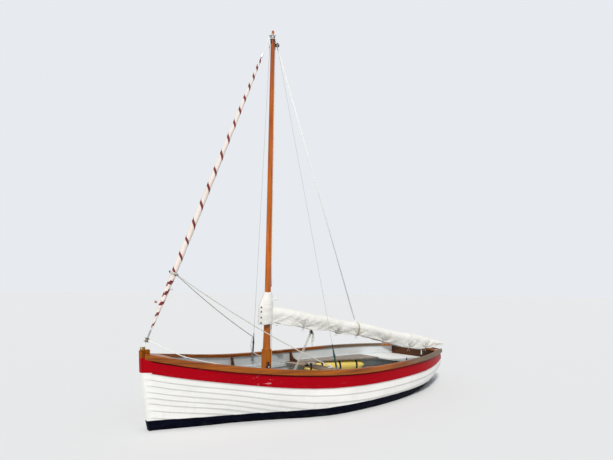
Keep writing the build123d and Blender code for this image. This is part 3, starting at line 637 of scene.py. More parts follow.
class Locker:
    """All the finishes, each made once."""

    def __init__(self) -> None:
        """Makes every material of the boat."""
        stem_top_line, stem_cap_line = self.lines_at_stem()
        recipes = {
            "white": HullPaint("hull_white", WHITE),
            "stem_white": HullPaint("stem_white", WHITE, top=CRIMSON, top_line=stem_top_line, cap_line=stem_cap_line),
            "transom_white": HullPaint("transom_white", WHITE, top=CRIMSON, top_line=0.345),
            "crimson": HullPaint("hull_crimson", CRIMSON, dirt=0.0, scuffs=1.42, shade_below=0.071),
            "inside": SatinPaint("inside_grey", INSIDE_GREY),
            "seat_white": SatinPaint("seat_white", paint_chip(240, 242, 240), dirt=0.2),
            "floor_grey": SatinPaint("floor_grey", paint_chip(150, 154, 154), dirt=0.6),
            "rail": Timber("rail_varnish", HONEY, TREACLE, 0.5, 0.12, -1.5, -0.6),
            "mast": Timber("spar_varnish", paint_chip(214, 112, 10), paint_chip(146, 64, 6), 0.95, 0.0, grain=0.5),
            "mast_heel": Timber("heel_varnish", paint_chip(206, 116, 20), paint_chip(150, 74, 10), 0.6, 0.05,
                                grain=0.5),
            # The first of these two is the knee oak painted darker, as painted shade on the knees, transom, case post
            # and boom rest; the second is the same oak painted lighter, as painted sunlight on the quarter knees.
            "knee": Timber("knee_oak", paint_chip(98, 52, 18), paint_chip(50, 24, 8), 0.4, 0.15),
            "bright_knee": Timber("bright_knee", paint_chip(214, 122, 40), paint_chip(150, 74, 22), 0.6, 0.1),
            "oak": Timber("oiled_oak", OAK_LIGHT, OAK_DARK, 0.2, 0.35),
            "thwart": Timber("bare_thwart", paint_chip(166, 140, 112), paint_chip(104, 84, 64), 0.05, 0.7),
            "bench": Timber("bare_bench", paint_chip(178, 170, 160), paint_chip(122, 112, 102), 0.05, 0.8),
            "dark_rail": Timber("stern_rail", paint_chip(96, 66, 44), paint_chip(48, 30, 20), 0.35, 0.5),
            "canvas": Cloth("cover_canvas", paint_chip(244, 243, 238), paint_chip(206, 200, 184)),
            "sail": Cloth("sail_cloth", paint_chip(242, 230, 222), paint_chip(214, 200, 190), 0.0012, 0.1, 0.7),
            "sail_strip": Cloth("sail_strip", paint_chip(122, 40, 42), paint_chip(92, 34, 38), 0.0012, 0.1, 0.75),
            "strap": Cloth("web_strap", paint_chip(196, 184, 150), paint_chip(150, 138, 106), 0.002),
            "black_strap": Cloth("black_strap", paint_chip(24, 24, 26), paint_chip(46, 46, 46), 0.002),
            "rope": RopeLay("white_rope", paint_chip(250, 249, 245)),
            "sheet_rope": RopeLay("sheet_rope", paint_chip(226, 222, 208), 0.024, 4, paint_chip(60, 80, 120)),
            "teal_rope": RopeLay("teal_rope", paint_chip(30, 78, 78), 0.02),
            "wire": RopeLay("steel_wire", paint_chip(196, 194, 188), 0.03, 6),
            "galvanised": Metal("galvanised", paint_chip(176, 178, 182), paint_chip(110, 112, 114)),
            "stainless": Metal("stainless", paint_chip(208, 208, 210), paint_chip(150, 150, 150), 0.22, 0.2),
            "bronze": Metal("dull_bronze", paint_chip(170, 128, 66), paint_chip(86, 84, 58), 0.4, 0.7),
            "black": Moulded("black_fitting", paint_chip(24, 24, 26)),
            "white_plastic": Moulded("white_fitting", paint_chip(228, 228, 224), 0.35),
            "yellow": Moulded("bag_yellow", paint_chip(255, 226, 120), 0.42),
            "red": Moulded("red_fitting", paint_chip(190, 118, 120), 0.4),
        }
        self.materials = {key: recipe.build() for key, recipe in recipes.items()}

    @staticmethod
    def lines_at_stem() -> tuple[float, float]:
        """Where the paint changes at the stem.

        Returns:
            The heights where the stem's crimson starts and where the rails meet it.
        """
        corners = [v.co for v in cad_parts[TOP_STRAKE].data.vertices]
        fore = max(c.x for c in corners)
        heights = [c.z for c in corners if c.x > fore - 0.06]
        return min(heights), max(heights) - 0.042

    def __getitem__(self, key: str) -> Finish:
        """The material of that name."""
        return self.materials[key]


def adopt(piece: Piece, body: Body, slot: str | None = None, *nodes: str) -> Piece:
    """Makes a finished piece ride on a body and stand for CAD nodes.

    Args:
        piece: The finished piece, in place.
        body: The body that it moves with.
        slot: Not used.
        nodes: The CAD nodes that it replaces.

    Returns:
        The piece.
    """
    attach(piece, body.value)
    if nodes:
        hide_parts(*nodes)
    LOG.info("%s: %d faces on %s", piece.name, len(piece.data.polygons) if piece.type == "MESH" else 0, body.value)
    return piece


def lay_run(piece: Piece, runs: Iterable[Point]) -> None:
    """Stores each vertex's place in the grain or weave.

    Args:
        piece: The piece.
        runs: For each vertex the length along the piece, the way across it and its depth.
    """
    store = piece.data.attributes.get("run") or piece.data.attributes.new("run", "FLOAT_VECTOR", "POINT")
    store.data.foreach_set("vector", [float(value) for run in runs for value in run])


def angles(sides: int, turns: int = 1) -> list[float]:
    """The angles of a number of turns with so many sides each, first and last included."""
    return [math.tau * k / sides for k in range(sides * turns + 1)]


def spoke(across: Vector, other: Vector, angle: float) -> Vector:
    """The direction at an angle from one of two square directions to the other."""
    return across * math.cos(angle) + other * math.sin(angle)


def linked(name: str, data: bpy.types.ID) -> Piece:
    """Puts a mesh, a lamp or a camera into the scene.

    Args:
        name: The object's name.
        data: What it shows.

    Returns:
        The object.
    """
    piece = bpy.data.objects.new(name, data)
    bpy.context.scene.collection.objects.link(piece)
    return piece


def settled(name: str, draft: bmesh.types.BMesh) -> bpy.types.Mesh:
    """Turns a draft into a mesh and lets the draft go.

    Args:
        name: The mesh's name.
        draft: The mesh in the making.

    Returns:
        The mesh.
    """
    mesh = bpy.data.meshes.new(name)
    draft.to_mesh(mesh)
    draft.free()
    return mesh


def skin(
    name: str,
    rows: Sequence[Sequence[tuple[Point, Point]]],
    finish: Finish,
    ring: bool = False,
    capped: bool = False,
    inward: bool = False,
) -> Piece:
    """Makes a piece from rows of points.

    Args:
        name: The piece's name.
        rows: Its rows, each with as many pairs of a point and that point's grain.
        finish: Its material.
        ring: Whether each row closes on itself.
        capped: Whether a face closes its first and its last row.
        inward: Whether its faces look the other way.

    Returns:
        The piece, linked to the scene.
    """
    size = len(rows[0])
    span = size if ring else size - 1
    faces = []
    for i in range(len(rows) - 1):
        for k in range(span):
            a, b = i * size + k, i * size + (k + 1) % size
            faces.append((a, a + size, b + size, b) if inward else (a, b, b + size, a + size))
    if capped:
        faces += [tuple(range(span))[::-1], tuple((len(rows) - 1) * size + k for k in range(span))]
    mesh = bpy.data.meshes.new(name)
    mesh.from_pydata([tuple(point) for row in rows for point, _ in row], [], faces)
    mesh.polygons.foreach_set("use_smooth", [True] * len(faces))
    mesh.materials.append(finish)
    piece = linked(name, mesh)
    lay_run(piece, [run for row in rows for _, run in row])
    mesh.update()
    return piece


def thicken(piece: Piece, thick: float, offset: float = -1) -> None:
    """Gives a skin its thickness.

    Args:
        piece: The skin.
        thick: Its thickness, in metres.
        offset: Which side it grows to: -1 for inward, 0 for both, 1 for outward.
    """
    solid = piece.modifiers.new("thickness", "SOLIDIFY")
    solid.thickness, solid.offset = thick, offset


def joined(name: str, parts: Sequence[Piece]) -> Piece:
    """Joins several pieces into one mesh, with their modifiers applied.

    Args:
        name: The new piece's name.
        parts: The pieces, which are used up.

    Returns:
        The new piece.
    """
    graph = bpy.context.evaluated_depsgraph_get()
    book = bmesh.new()
    materials: list[bpy.types.Material] = []
    book.verts.layers.float_vector.new("run")
    for part in parts:
        data = bpy.data.meshes.new_from_object(part.evaluated_get(graph))
        data.transform(part.matrix_world)
        remap = []
        for material in data.materials:
            if material not in materials:
                materials.append(material)
            remap.append(materials.index(material))
        for polygon in data.polygons:
            polygon.material_index = remap[polygon.material_index] if remap else 0
        book.from_mesh(data)
        bpy.data.meshes.remove(data)
        bpy.data.objects.remove(part)
    piece = linked(name, settled(name, book))
    for material in materials:
        piece.data.materials.append(material)
    return piece


def fair_line(points: Sequence[Point], step: float = 0.02) -> list[Vector]:
    """A smooth line through points, as a rope lies.

    Args:
        points: The points it passes through.
        step: The greatest distance between the line's points.

    Returns:
        The line's points.
    """
    knots = [Vector(p) for p in points]
    if len(knots) == 2:
        return knots
    ends = [knots[0] * 2 - knots[1], *knots, knots[-1] * 2 - knots[-2]]
    line = []
    for before, start, end, after in zip(ends, ends[1:], ends[2:], ends[3:]):
        count = max(2, math.ceil((end - start).length / step))
        for k in range(count):
            t = k / count
            line.append(
                0.5 * (2 * start + (end - before) * t + (2 * before - 5 * start + 4 * end - after) * t**2
                       + (3 * start - before - 3 * end + after) * t**3)
            )
    return line + [knots[-1]]


def sagging(start: Point, end: Point, sag: float, count: int = 14) -> list[Vector]:
    """A line that hangs below the straight one between two points.

    Args:
        start, end: The two points.
        sag: How far it hangs down at its middle.
        count: How many parts it has.

    Returns:
        The line's points.
    """
    first, last = Vector(start), Vector(end)
    shares = [k / count for k in range(count + 1)]
    return [first.lerp(last, share) - Z_AXIS * sag * 4 * share * (1 - share) for share in shares]


def tube(
    name: str, line: Sequence[Point], radius: float | Callable[[float], float], finish: Finish, sides: int = 12
) -> Piece:
    """A round rod or rope along a line, with closed ends.

    Args:
        name: The piece's name.
        line: The points of its centreline.
        radius: Its radius, or the radius at a share of the length.
        finish: Its material.
        sides: How many sides it has.

    Returns:
        The piece.
    """
    points = [Vector(p) for p in line]
    lengths = [0.0]
    for a, b in zip(points, points[1:]):
        lengths.append(lengths[-1] + (b - a).length)
    across = (points[1] - points[0]).orthogonal().normalized()
    rows = []
    for i, point in enumerate(points):
        ahead = points[min(i + 1, len(points) - 1)] - points[max(i - 1, 0)]
        ahead.normalize()
        across = (across - ahead * across.dot(ahead)).normalized()
        other = ahead.cross(across)
        wide = radius if isinstance(radius, (int, float)) else radius(lengths[i] / lengths[-1])
        rows.append([(point + spoke(across, other, angle) * wide, (lengths[i], k / sides, 0))
                     for k, angle in enumerate(angles(sides))])
    return skin(name, rows, finish, capped=True)


def turned(
    name: str, profile: Sequence[tuple[float, float]], foot: Point, axis: Vector, finish: Finish, sides: int = 28
) -> Piece:
    """A piece turned on a lathe.

    Args:
        name: The piece's name.
        profile: Pairs of radius and height along the axis, closed at both ends if the radius is 0 there.
        foot: Where height 0 is.
        axis: The direction of the axis.
        finish: Its material.
        sides: How many sides it has.

    Returns:
        The piece.
    """
    ahead = axis.normalized()
    across = ahead.orthogonal().normalized()
    other = ahead.cross(across)
    rows = []
    for radius, height in profile:
        middle = Vector(foot) + ahead * height
        rows.append([(middle + spoke(across, other, angle) * radius, (height, angle * radius, 0))
                     for angle in angles(sides)[:-1]])
    piece = skin(name, rows, finish, ring=True)
    draft = bmesh.new()
    draft.from_mesh(piece.data)
    bmesh.ops.remove_doubles(draft, verts=draft.verts, dist=1e-6)
    bmesh.ops.holes_fill(draft, edges=draft.edges)
    bmesh.ops.recalc_face_normals(draft, faces=draft.faces)
    draft.to_mesh(piece.data)
    draft.free()
    soften(piece, 0.0008)
    return piece


def shaped_block(name: str, centre: Point, size: Point, finish: Finish, round_by: float) -> Piece:
    """A block with rounded edges, for a cleat's base, a cheek or a lead.

    Args:
        name: The piece's name.
        centre: Its centre.
        size: Its length, width and height.
        finish: Its material.
        round_by: How far its edges are rounded.

    Returns:
        The piece.
    """
    draft = bmesh.new()
    bmesh.ops.create_cube(draft, size=1.0)
    bmesh.ops.scale(draft, vec=Vector(size), verts=draft.verts)
    bmesh.ops.bevel(draft, geom=draft.edges, offset=round_by, segments=3, profile=0.5, affect="EDGES")
    mesh = settled(name, draft)
    mesh.transform(Matrix.Translation(Vector(centre)))
    mesh.polygons.foreach_set("use_smooth", [True] * len(mesh.polygons))
    mesh.materials.append(finish)
    piece = linked(name, mesh)
    lay_run(piece, [tuple(v.co) for v in mesh.vertices])
    return piece


def soften(piece: Piece, width: float) -> None:
    """Rounds a piece's hard edges a little and evens its shading.

    Args:
        piece: The piece.
        width: How wide its rounded edges are, or 0 for none.
    """
    if "custom_normal" in piece.data.attributes:
        piece.data.attributes.remove(piece.data.attributes["custom_normal"])
    piece.data.polygons.foreach_set("use_smooth", [True] * len(piece.data.polygons))
    weld = piece.modifiers.new("weld", "WELD")
    weld.merge_threshold = 1e-5
    if width > 0:
        bevel = piece.modifiers.new("edge", "BEVEL")
        bevel.width = width
        bevel.segments = 2
        bevel.limit_method = "ANGLE"
        bevel.angle_limit = math.radians(HARD_EDGE)
        bevel.use_clamp_overlap = True
    even = piece.modifiers.new("even", "WEIGHTED_NORMAL")
    even.keep_sharp = False


def dress(node: str, materials: Sequence[Finish], width: float = 0.0015) -> Piece:
    """Gives a carried-over CAD node its materials and softened edges.

    Args:
        node: The CAD node's name.
        materials: Its materials, the first for all of it.
        width: How wide its softened edges are.

    Returns:
        The piece.
    """
    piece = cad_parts[node]
    piece.data.materials.clear()
    for material in materials:
        piece.data.materials.append(material)
    soften(piece, width)
    LOG.info("%s: dressed with %s", node, materials[0].name)
    return piece


def strake_names() -> list[str]:
    """The names of the strakes' nodes, from the keel up."""
    return [f"strake_{number:02d}" for number in range(1, 13)]


@dataclass
class Assembly:
    """A part of the boat that takes its finishes from the locker.

    Args:
        locker: The finishes.
    """

    locker: Locker


@dataclass
class Planking(Assembly):
    """The strakes with their paint outside and inside, and the filler at the stem.

    Args:
        tilt: How far a face has to look outboard to count as the outside.
        filler: How far behind the stem's face the filler starts and ends.
        filler_rows, filler_foot: Its rows of faces and the height of the lowest.
        slice_long: The length of strake that has one highest point.
    """

    tilt: float = -0.05
    filler: tuple[float, float] = (0.014, 0.085)
    filler_rows: int = 110
    filler_foot: float = 0.012
    slice_long: float = 0.25

    def build(self) -> None:
        """Paints each strake: outside by its place, the rest in the inside grey."""
        for node in strake_names():
            top = node == TOP_STRAKE
            outside = self.locker["crimson" if top else "white"]
            piece = dress(node, [outside, self.locker["inside"], self.locker["rail"]], 0.0012)
            for polygon in piece.data.polygons:
                side = 1 if polygon.center.y > 0 else -1
                looks_out = polygon.normal.y * side
                if top and polygon.normal.z > 0.75:
                    polygon.material_index = 2
                elif looks_out > self.tilt or polygon.normal.z < -0.7 and looks_out > -0.3:
                    polygon.material_index = 0
                else:
                    polygon.material_index = 1
            lay_run(piece, self.depths(piece))
        self.fairing()

    def fairing(self) -> None:
        """Adds the painted filler that brings the planks' fore ends flush with the stem."""
        trees = []
        for node in ["stem", *strake_names()]:
            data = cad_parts[node].data
            faces = [tuple(p.vertices) for p in data.polygons]
            trees.append(BVHTree.FromPolygons([v.co for v in data.vertices], faces))

        def hits(start: Vector, way: Vector) -> list[Vector]:
            """Where a straight look from a start meets stem and planks."""
            found = (tree.ray_cast(start, way)[0] for tree in trees)
            return [place for place in found if place is not None]

        low, high = self.filler_foot, self.locker.lines_at_stem()[1] - 0.004
        for side in Side:
            rows = []
            for k in range(self.filler_rows + 1):
                z = low + (high - low) * k / self.filler_rows
                front = max(place.x for place in hits(Vector((3, side.value * 0.010, z)), -X_AXIS))
                ends = []
                for back in self.filler:
                    x = front - back
                    y = max(abs(place.y) for place in hits(Vector((x, side.value * 0.6, z)), -Y_AXIS * side.value))
                    ends.append((x, y))
                (x, y), (x_aft, y_aft) = ends
                row = []
                for t in (0, 0.25, 0.5, 0.75, 1):
                    point = (x + (x_aft - x) * t, side.value * (y + (y_aft - y) * t + 0.0005 + 0.0004 * t), z)
                    row.append((point, point))
                rows.append(row)
            name = f"stem_fairing_{side.name.lower()}"
            piece = skin(name, rows, self.locker["stem_white"], inward=side is Side.PORT)
            adopt(piece, Body.HULL, "white_paint")

    def depths(self, piece: Piece) -> list[tuple[float, float, float]]:
        """How deep each vertex lies.

        Args:
            piece: The strake.

        Returns:
            For each vertex its x, its y and its depth below the strake's upper edge.
        """
        peaks: dict[int, tuple[float, float]] = {}
        for v in piece.data.vertices:
            key = round(v.co.x / self.slice_long)
            if v.co.z > peaks.get(key, (0, -9.0))[1]:
                peaks[key] = (v.co.x, v.co.z)
        edge = sorted(peaks.values())
        depths = []
        for v in piece.data.vertices:
            i = max((k for k in range(len(edge) - 1) if v.co.x >= edge[k][0]), default=0)
            (x_low, low), (x_high, high) = edge[i], edge[i + 1]
            top = low + (high - low) * (v.co.x - x_low) / (x_high - x_low)
            depths.append((v.co.x, v.co.y, top - v.co.z))
        return depths


@dataclass
class Woodwork(Assembly):
    """Backbone, rails, knees, seats, floor and case, each with its own finish.

    Args:
        plans: Each wooden node's finish and the width of its softened edges.
        across, upright: The nodes whose grain runs from side to side, and up.
        curved: The nodes whose grain follows the gunwale.
        slice_long: The length of gunwale that has one middle line.
    """

    plans: dict[str, tuple[str, float]] = field(default_factory=lambda: {
        "keel": ("white", 0.003), "hog": ("floor_grey", 0.002), "stem": ("stem_white", 0.004),
        # The knee finish is painted shade on the transom, knees, case post and boom rest; the quarter knees' finish is
        # painted sunlight.
        "transom": ("knee", 0.002), "outwale": ("rail", 0.007), "inwale": ("rail", 0.004),
        "breasthook": ("rail", 0.003), "quarter_knees": ("bright_knee", 0.004), "risings": ("inside", 0.003),
        "mast_thwart": ("thwart", 0.004), "mid_thwart": ("thwart", 0.004), "side_benches": ("bench", 0.004),
        "stern_seat": ("seat_white", 0.003), "thwart_knees": ("knee", 0.003), "floor_timbers": ("oak", 0.002),
        "bottom_boards": ("floor_grey", 0.003), "centreboard_case": ("thwart", 0.003), "case_post": ("knee", 0.001),
        "mast_step": ("oak", 0.002), "boom_rest": ("knee", 0.004), "rowlock_pads": ("rail", 0.003),
        "centreboard": ("white", 0.003), "boom": ("mast", 0.003), "centreboard_pin": ("bronze", 0.0006),
    })
    across: tuple[str, ...] = ("mast_thwart", "mid_thwart", "floor_timbers", "transom", "stern_seat")
    upright: tuple[str, ...] = ("stem", "case_post", "thwart_knees", "mast_step")
    curved: tuple[str, ...] = ("outwale", "inwale", "breasthook", "quarter_knees", "risings", "rowlock_pads")
    slice_long: float = 0.05

    def build(self) -> None:
        """Dresses each wooden node and lays its grain along its run."""
        for node, (finish, width) in self.plans.items():
            piece = dress(node, [self.locker[finish]], width)
            corners = [v.co for v in piece.data.vertices]
            if node in self.across:
                lay_run(piece, [(c.y, c.x, c.z) for c in corners])
            elif node in self.upright:
                lay_run(piece, [(c.z, c.x, c.y) for c in corners])
            elif node in self.curved:
                lay_run(piece, self.along_rail(corners))
            else:
                lay_run(piece, [(c.x, c.y, c.z) for c in corners])
        self.paint_transom()

    def along_rail(self, corners: Sequence[Vector]) -> list[tuple[float, float, float]]:
        """The grain of a piece that follows the gunwale.

        Args:
            corners: The piece's vertices.

        Returns:
            For each vertex its x, its way out from the piece's middle line and its height.
        """
        rows: dict[int, list[float]] = {}
        for c in corners:
            rows.setdefault(round(c.x / self.slice_long), []).append(abs(c.y))
        middles = {key: sum(values) / len(values) for key, values in rows.items()}
        apart = 3
        return [(c.x, abs(c.y) - middles[round(c.x / self.slice_long)] + (apart if c.y < 0 else 0), c.z)
                for c in corners]

    def paint_transom(self) -> None:
        """Paints the transom's outside in the hull's colours and its top edge in dark varnish."""
        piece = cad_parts["transom"]
        for finish in ("transom_white", "dark_rail"):
            piece.data.materials.append(self.locker[finish])
        for polygon in piece.data.polygons:
            if polygon.normal.x < -0.7:
                polygon.material_index = 1
            elif polygon.normal.z > 0.6 and polygon.center.z > 0.4:
                polygon.material_index = 2


@dataclass
class Spars(Assembly):
    """The mast with its heel, its masthead gear and the fittings at its foot.

    Args:
        x: Where the mast stands.
        heel_top, top: Where the squared heel ends, and the mast's top.
        wide_low, wide_high: The mast's radius there.
        band_z: The height of the masthead's band.
        sleeve: The length of the tape on the wires' eyes.
        eye: The radius of the rope eye round the masthead.
        cleat_z: The height of the horn cleat.
    """

    x: float = 0.815
    heel_top: float = 0.717
    top: float = 5.052
    wide_low: float = 0.041
    wide_high: float = 0.030
    band_z: float = 5.018
    sleeve: float = 0.11
    eye: float = 0.0375
    cleat_z: float = 0.62

    def build(self) -> None:
        """Dresses the mast and adds its fittings."""
        mast = dress("mast", [self.locker["mast"], self.locker["mast_heel"]], 0.003)
        for polygon in mast.data.polygons:
            polygon.material_index = 1 if polygon.center.z < self.heel_top else 0
        lay_run(mast, [(v.co.z, v.co.x, v.co.y) for v in mast.data.vertices])
        for node, finish in (("masthead_band", "galvanised"), ("chainplates", "galvanised"), ("stem_fitting", "bronze"),
                             ("gudgeons", "bronze"), ("head_swivel", "stainless")):
            dress(node, [self.locker[finish]], 0.001)
        self.masthead()
        self.foot()

    def radius(self, z: float) -> float:
        """The mast's radius at a height."""
        return self.wide_low + (self.wide_high - self.wide_low) * (z - self.heel_top) / (self.top - self.heel_top)

    def masthead(self) -> None:
        """The taped eyes of the shrouds and of the headstay, and two hanging blocks."""
        x, z, rope = self.x, self.band_z, self.locker["rope"]
        parts = []
        reach = self.radius(z) + 0.034
        for turn in (0, 90, 270):
            out = spoke(X_AXIS, Y_AXIS, math.radians(turn))
            top = Vector((x, 0, z - 0.013)) + out * reach
            low = top + Vector((0, 0, -self.sleeve)) + out * (0.03 if turn == 0 else 0.018)
            parts.append(tube("sleeve", [top, top.lerp(low, 0.5), low], lambda t: 0.008 - 0.003 * t, rope, 14))
        adopt(joined("masthead_sleeves", parts), Body.HULL, "white_rope")
        cheeks = [tube("cheek", [(x + dx, dy, z - 0.016), (x + dx, dy, z - 0.092)], 0.0095, self.locker["black"], 14)
                  for dx, dy in ((0.030, 0.003), (-0.001, 0.032))]
        adopt(joined("masthead_cheeks", cheeks), Body.HULL, "black_plastic")
        strops = []
        for side in Side:
            loop = [(x + dx, side.value * dy, z + dz) for dx, dy, dz in (
                (0.004, 0.036, 0.034), (0, 0.052, 0.006), (-0.008, 0.060, -0.03), (-0.02, 0.066, -0.075))]
            strops.append(tube("strop", fair_line(loop, 0.008), 0.0045, rope))
        ring = [(x + self.eye * math.cos(a), self.eye * math.sin(a), z + 0.032) for a in angles(40)]
        strops.append(tube("strop", ring, 0.0055, rope))
        adopt(joined("masthead_strops", strops), Body.HULL, "white_rope")
        Block(self.locker, (x - 0.062, 0.03, z - 0.10), Z_AXIS, 0.030, "lift_block").build(Body.HULL)
        Block(self.locker, (x - 0.058, -0.022, z - 0.085), Z_AXIS, 0.026, "halyard_block").build(Body.HULL)

    def foot(self) -> None:
        """A black cheek block and a horn cleat on the heel, and the swell above it."""
        x, black = self.x, self.locker["black"]
        hub = (x + 0.012, 0.0525, 0.500)
        cheek = [(0, 0), (0.030, 0), (0.032, 0.003), (0.032, 0.012), (0.027, 0.018), (0, 0.018)]
        cap = [(0, 0.018), (0.011, 0.018), (0.011, 0.021), (0, 0.022)]
        parts = [turned("cheek", cheek, hub, Y_AXIS, black),
                 turned("cheek", cap, hub, Y_AXIS, self.locker["white_plastic"], 20),
                 shaped_block("cheek", (x + 0.012, 0.0565, 0.540), (0.03, 0.008, 0.05), black, 0.003)]
        adopt(joined("heel_cheek_block", parts), Body.HULL, "black_plastic")
        adopt(self.horn_cleat(), Body.HULL, "steel")
        swell = [(0.0515, 0.0), (0.0525, 0.006), (0.0505, 0.012), (0.0492, 0.02), (0.0455, 0.16), (0.0425, 0.31),
                 (0.040, 0.312)]
        piece = turned("mast_swell", swell, (x, 0, self.heel_top - 0.004), Z_AXIS, self.locker["mast_heel"], 40)
        lay_run(piece, [(v.co.z, v.co.x, v.co.y) for v in piece.data.vertices])
        adopt(piece, Body.HULL, "varnish")

    def horn_cleat(self) -> Piece:
        """The horn cleat for the jib's halyard, on the heel's starboard side.

        Returns:
            The piece.
        """
        x, y, z = self.x, -0.046, self.cleat_z
        metal = self.locker["galvanised"]
        horns = [(x, y - 0.030, z - 0.065), (x, y - 0.024, z - 0.035), (x, y - 0.021, z),
                 (x, y - 0.024, z + 0.035), (x, y - 0.030, z + 0.065)]
        return joined("halyard_cleat", [
            tube("horn", fair_line(horns, 0.006), lambda t: 0.0035 + 0.0045 * math.sin(math.pi * t), metal),
            shaped_block("horn", (x, y - 0.010, z), (0.020, 0.021, 0.034), metal, 0.005),
            shaped_block("horn", (x, y - 0.0025, z), (0.024, 0.005, 0.060), metal, 0.002),
        ])


@dataclass
class Block(Assembly):
    """A small rope block: two cheeks, a sheave between them and a strap with its eye.

    Args:
        centre: The sheave's centre.
        up: The direction of the eye.
        size: The cheek's radius.
        name: The piece's name.
        axle: About the direction of the sheave's axle.
    """

    centre: Point
    up: Vector
    size: float
    name: str
    axle: Vector = field(default_factory=Y_AXIS.copy)

    def build(self, body: Body) -> None:
        """Makes the block.

        Args:
            body: The body that it rides on.
        """
        centre, up, size = Vector(self.centre), self.up.normalized(), self.size
        axle = (self.axle - up * self.axle.dot(up)).normalized()
        parts = []
        for side in (-1, 1):
            start = centre + axle * side * size * 0.20
            profile = [(0, 0), (size, 0), (size * 0.94, size * 0.12), (size * 0.6, size * 0.2), (0, size * 0.22)]
            parts.append(turned("cheek", profile, start, axle * side, self.locker["black"], 24))
        sheave = [(r * size, h * size) for r, h in ((0, -0.17), (0.82, -0.17), (0.66, 0), (0.82, 0.17), (0, 0.17))]
        parts.append(turned("sheave", sheave, centre, axle, self.locker["white_plastic"]))
        strap = fair_line([
            centre + axle * size * 0.46 - up * size * 0.5, centre + axle * size * 0.46 + up * size * 0.6,
            centre + up * size * 1.25, centre - axle * size * 0.46 + up * size * 0.6,
            centre - axle * size * 0.46 - up * size * 0.5,
        ], size * 0.12)
        parts.append(tube("strap", strap, size * 0.085, self.locker["stainless"], 10))
        adopt(joined(self.name, parts), body, "black_plastic")


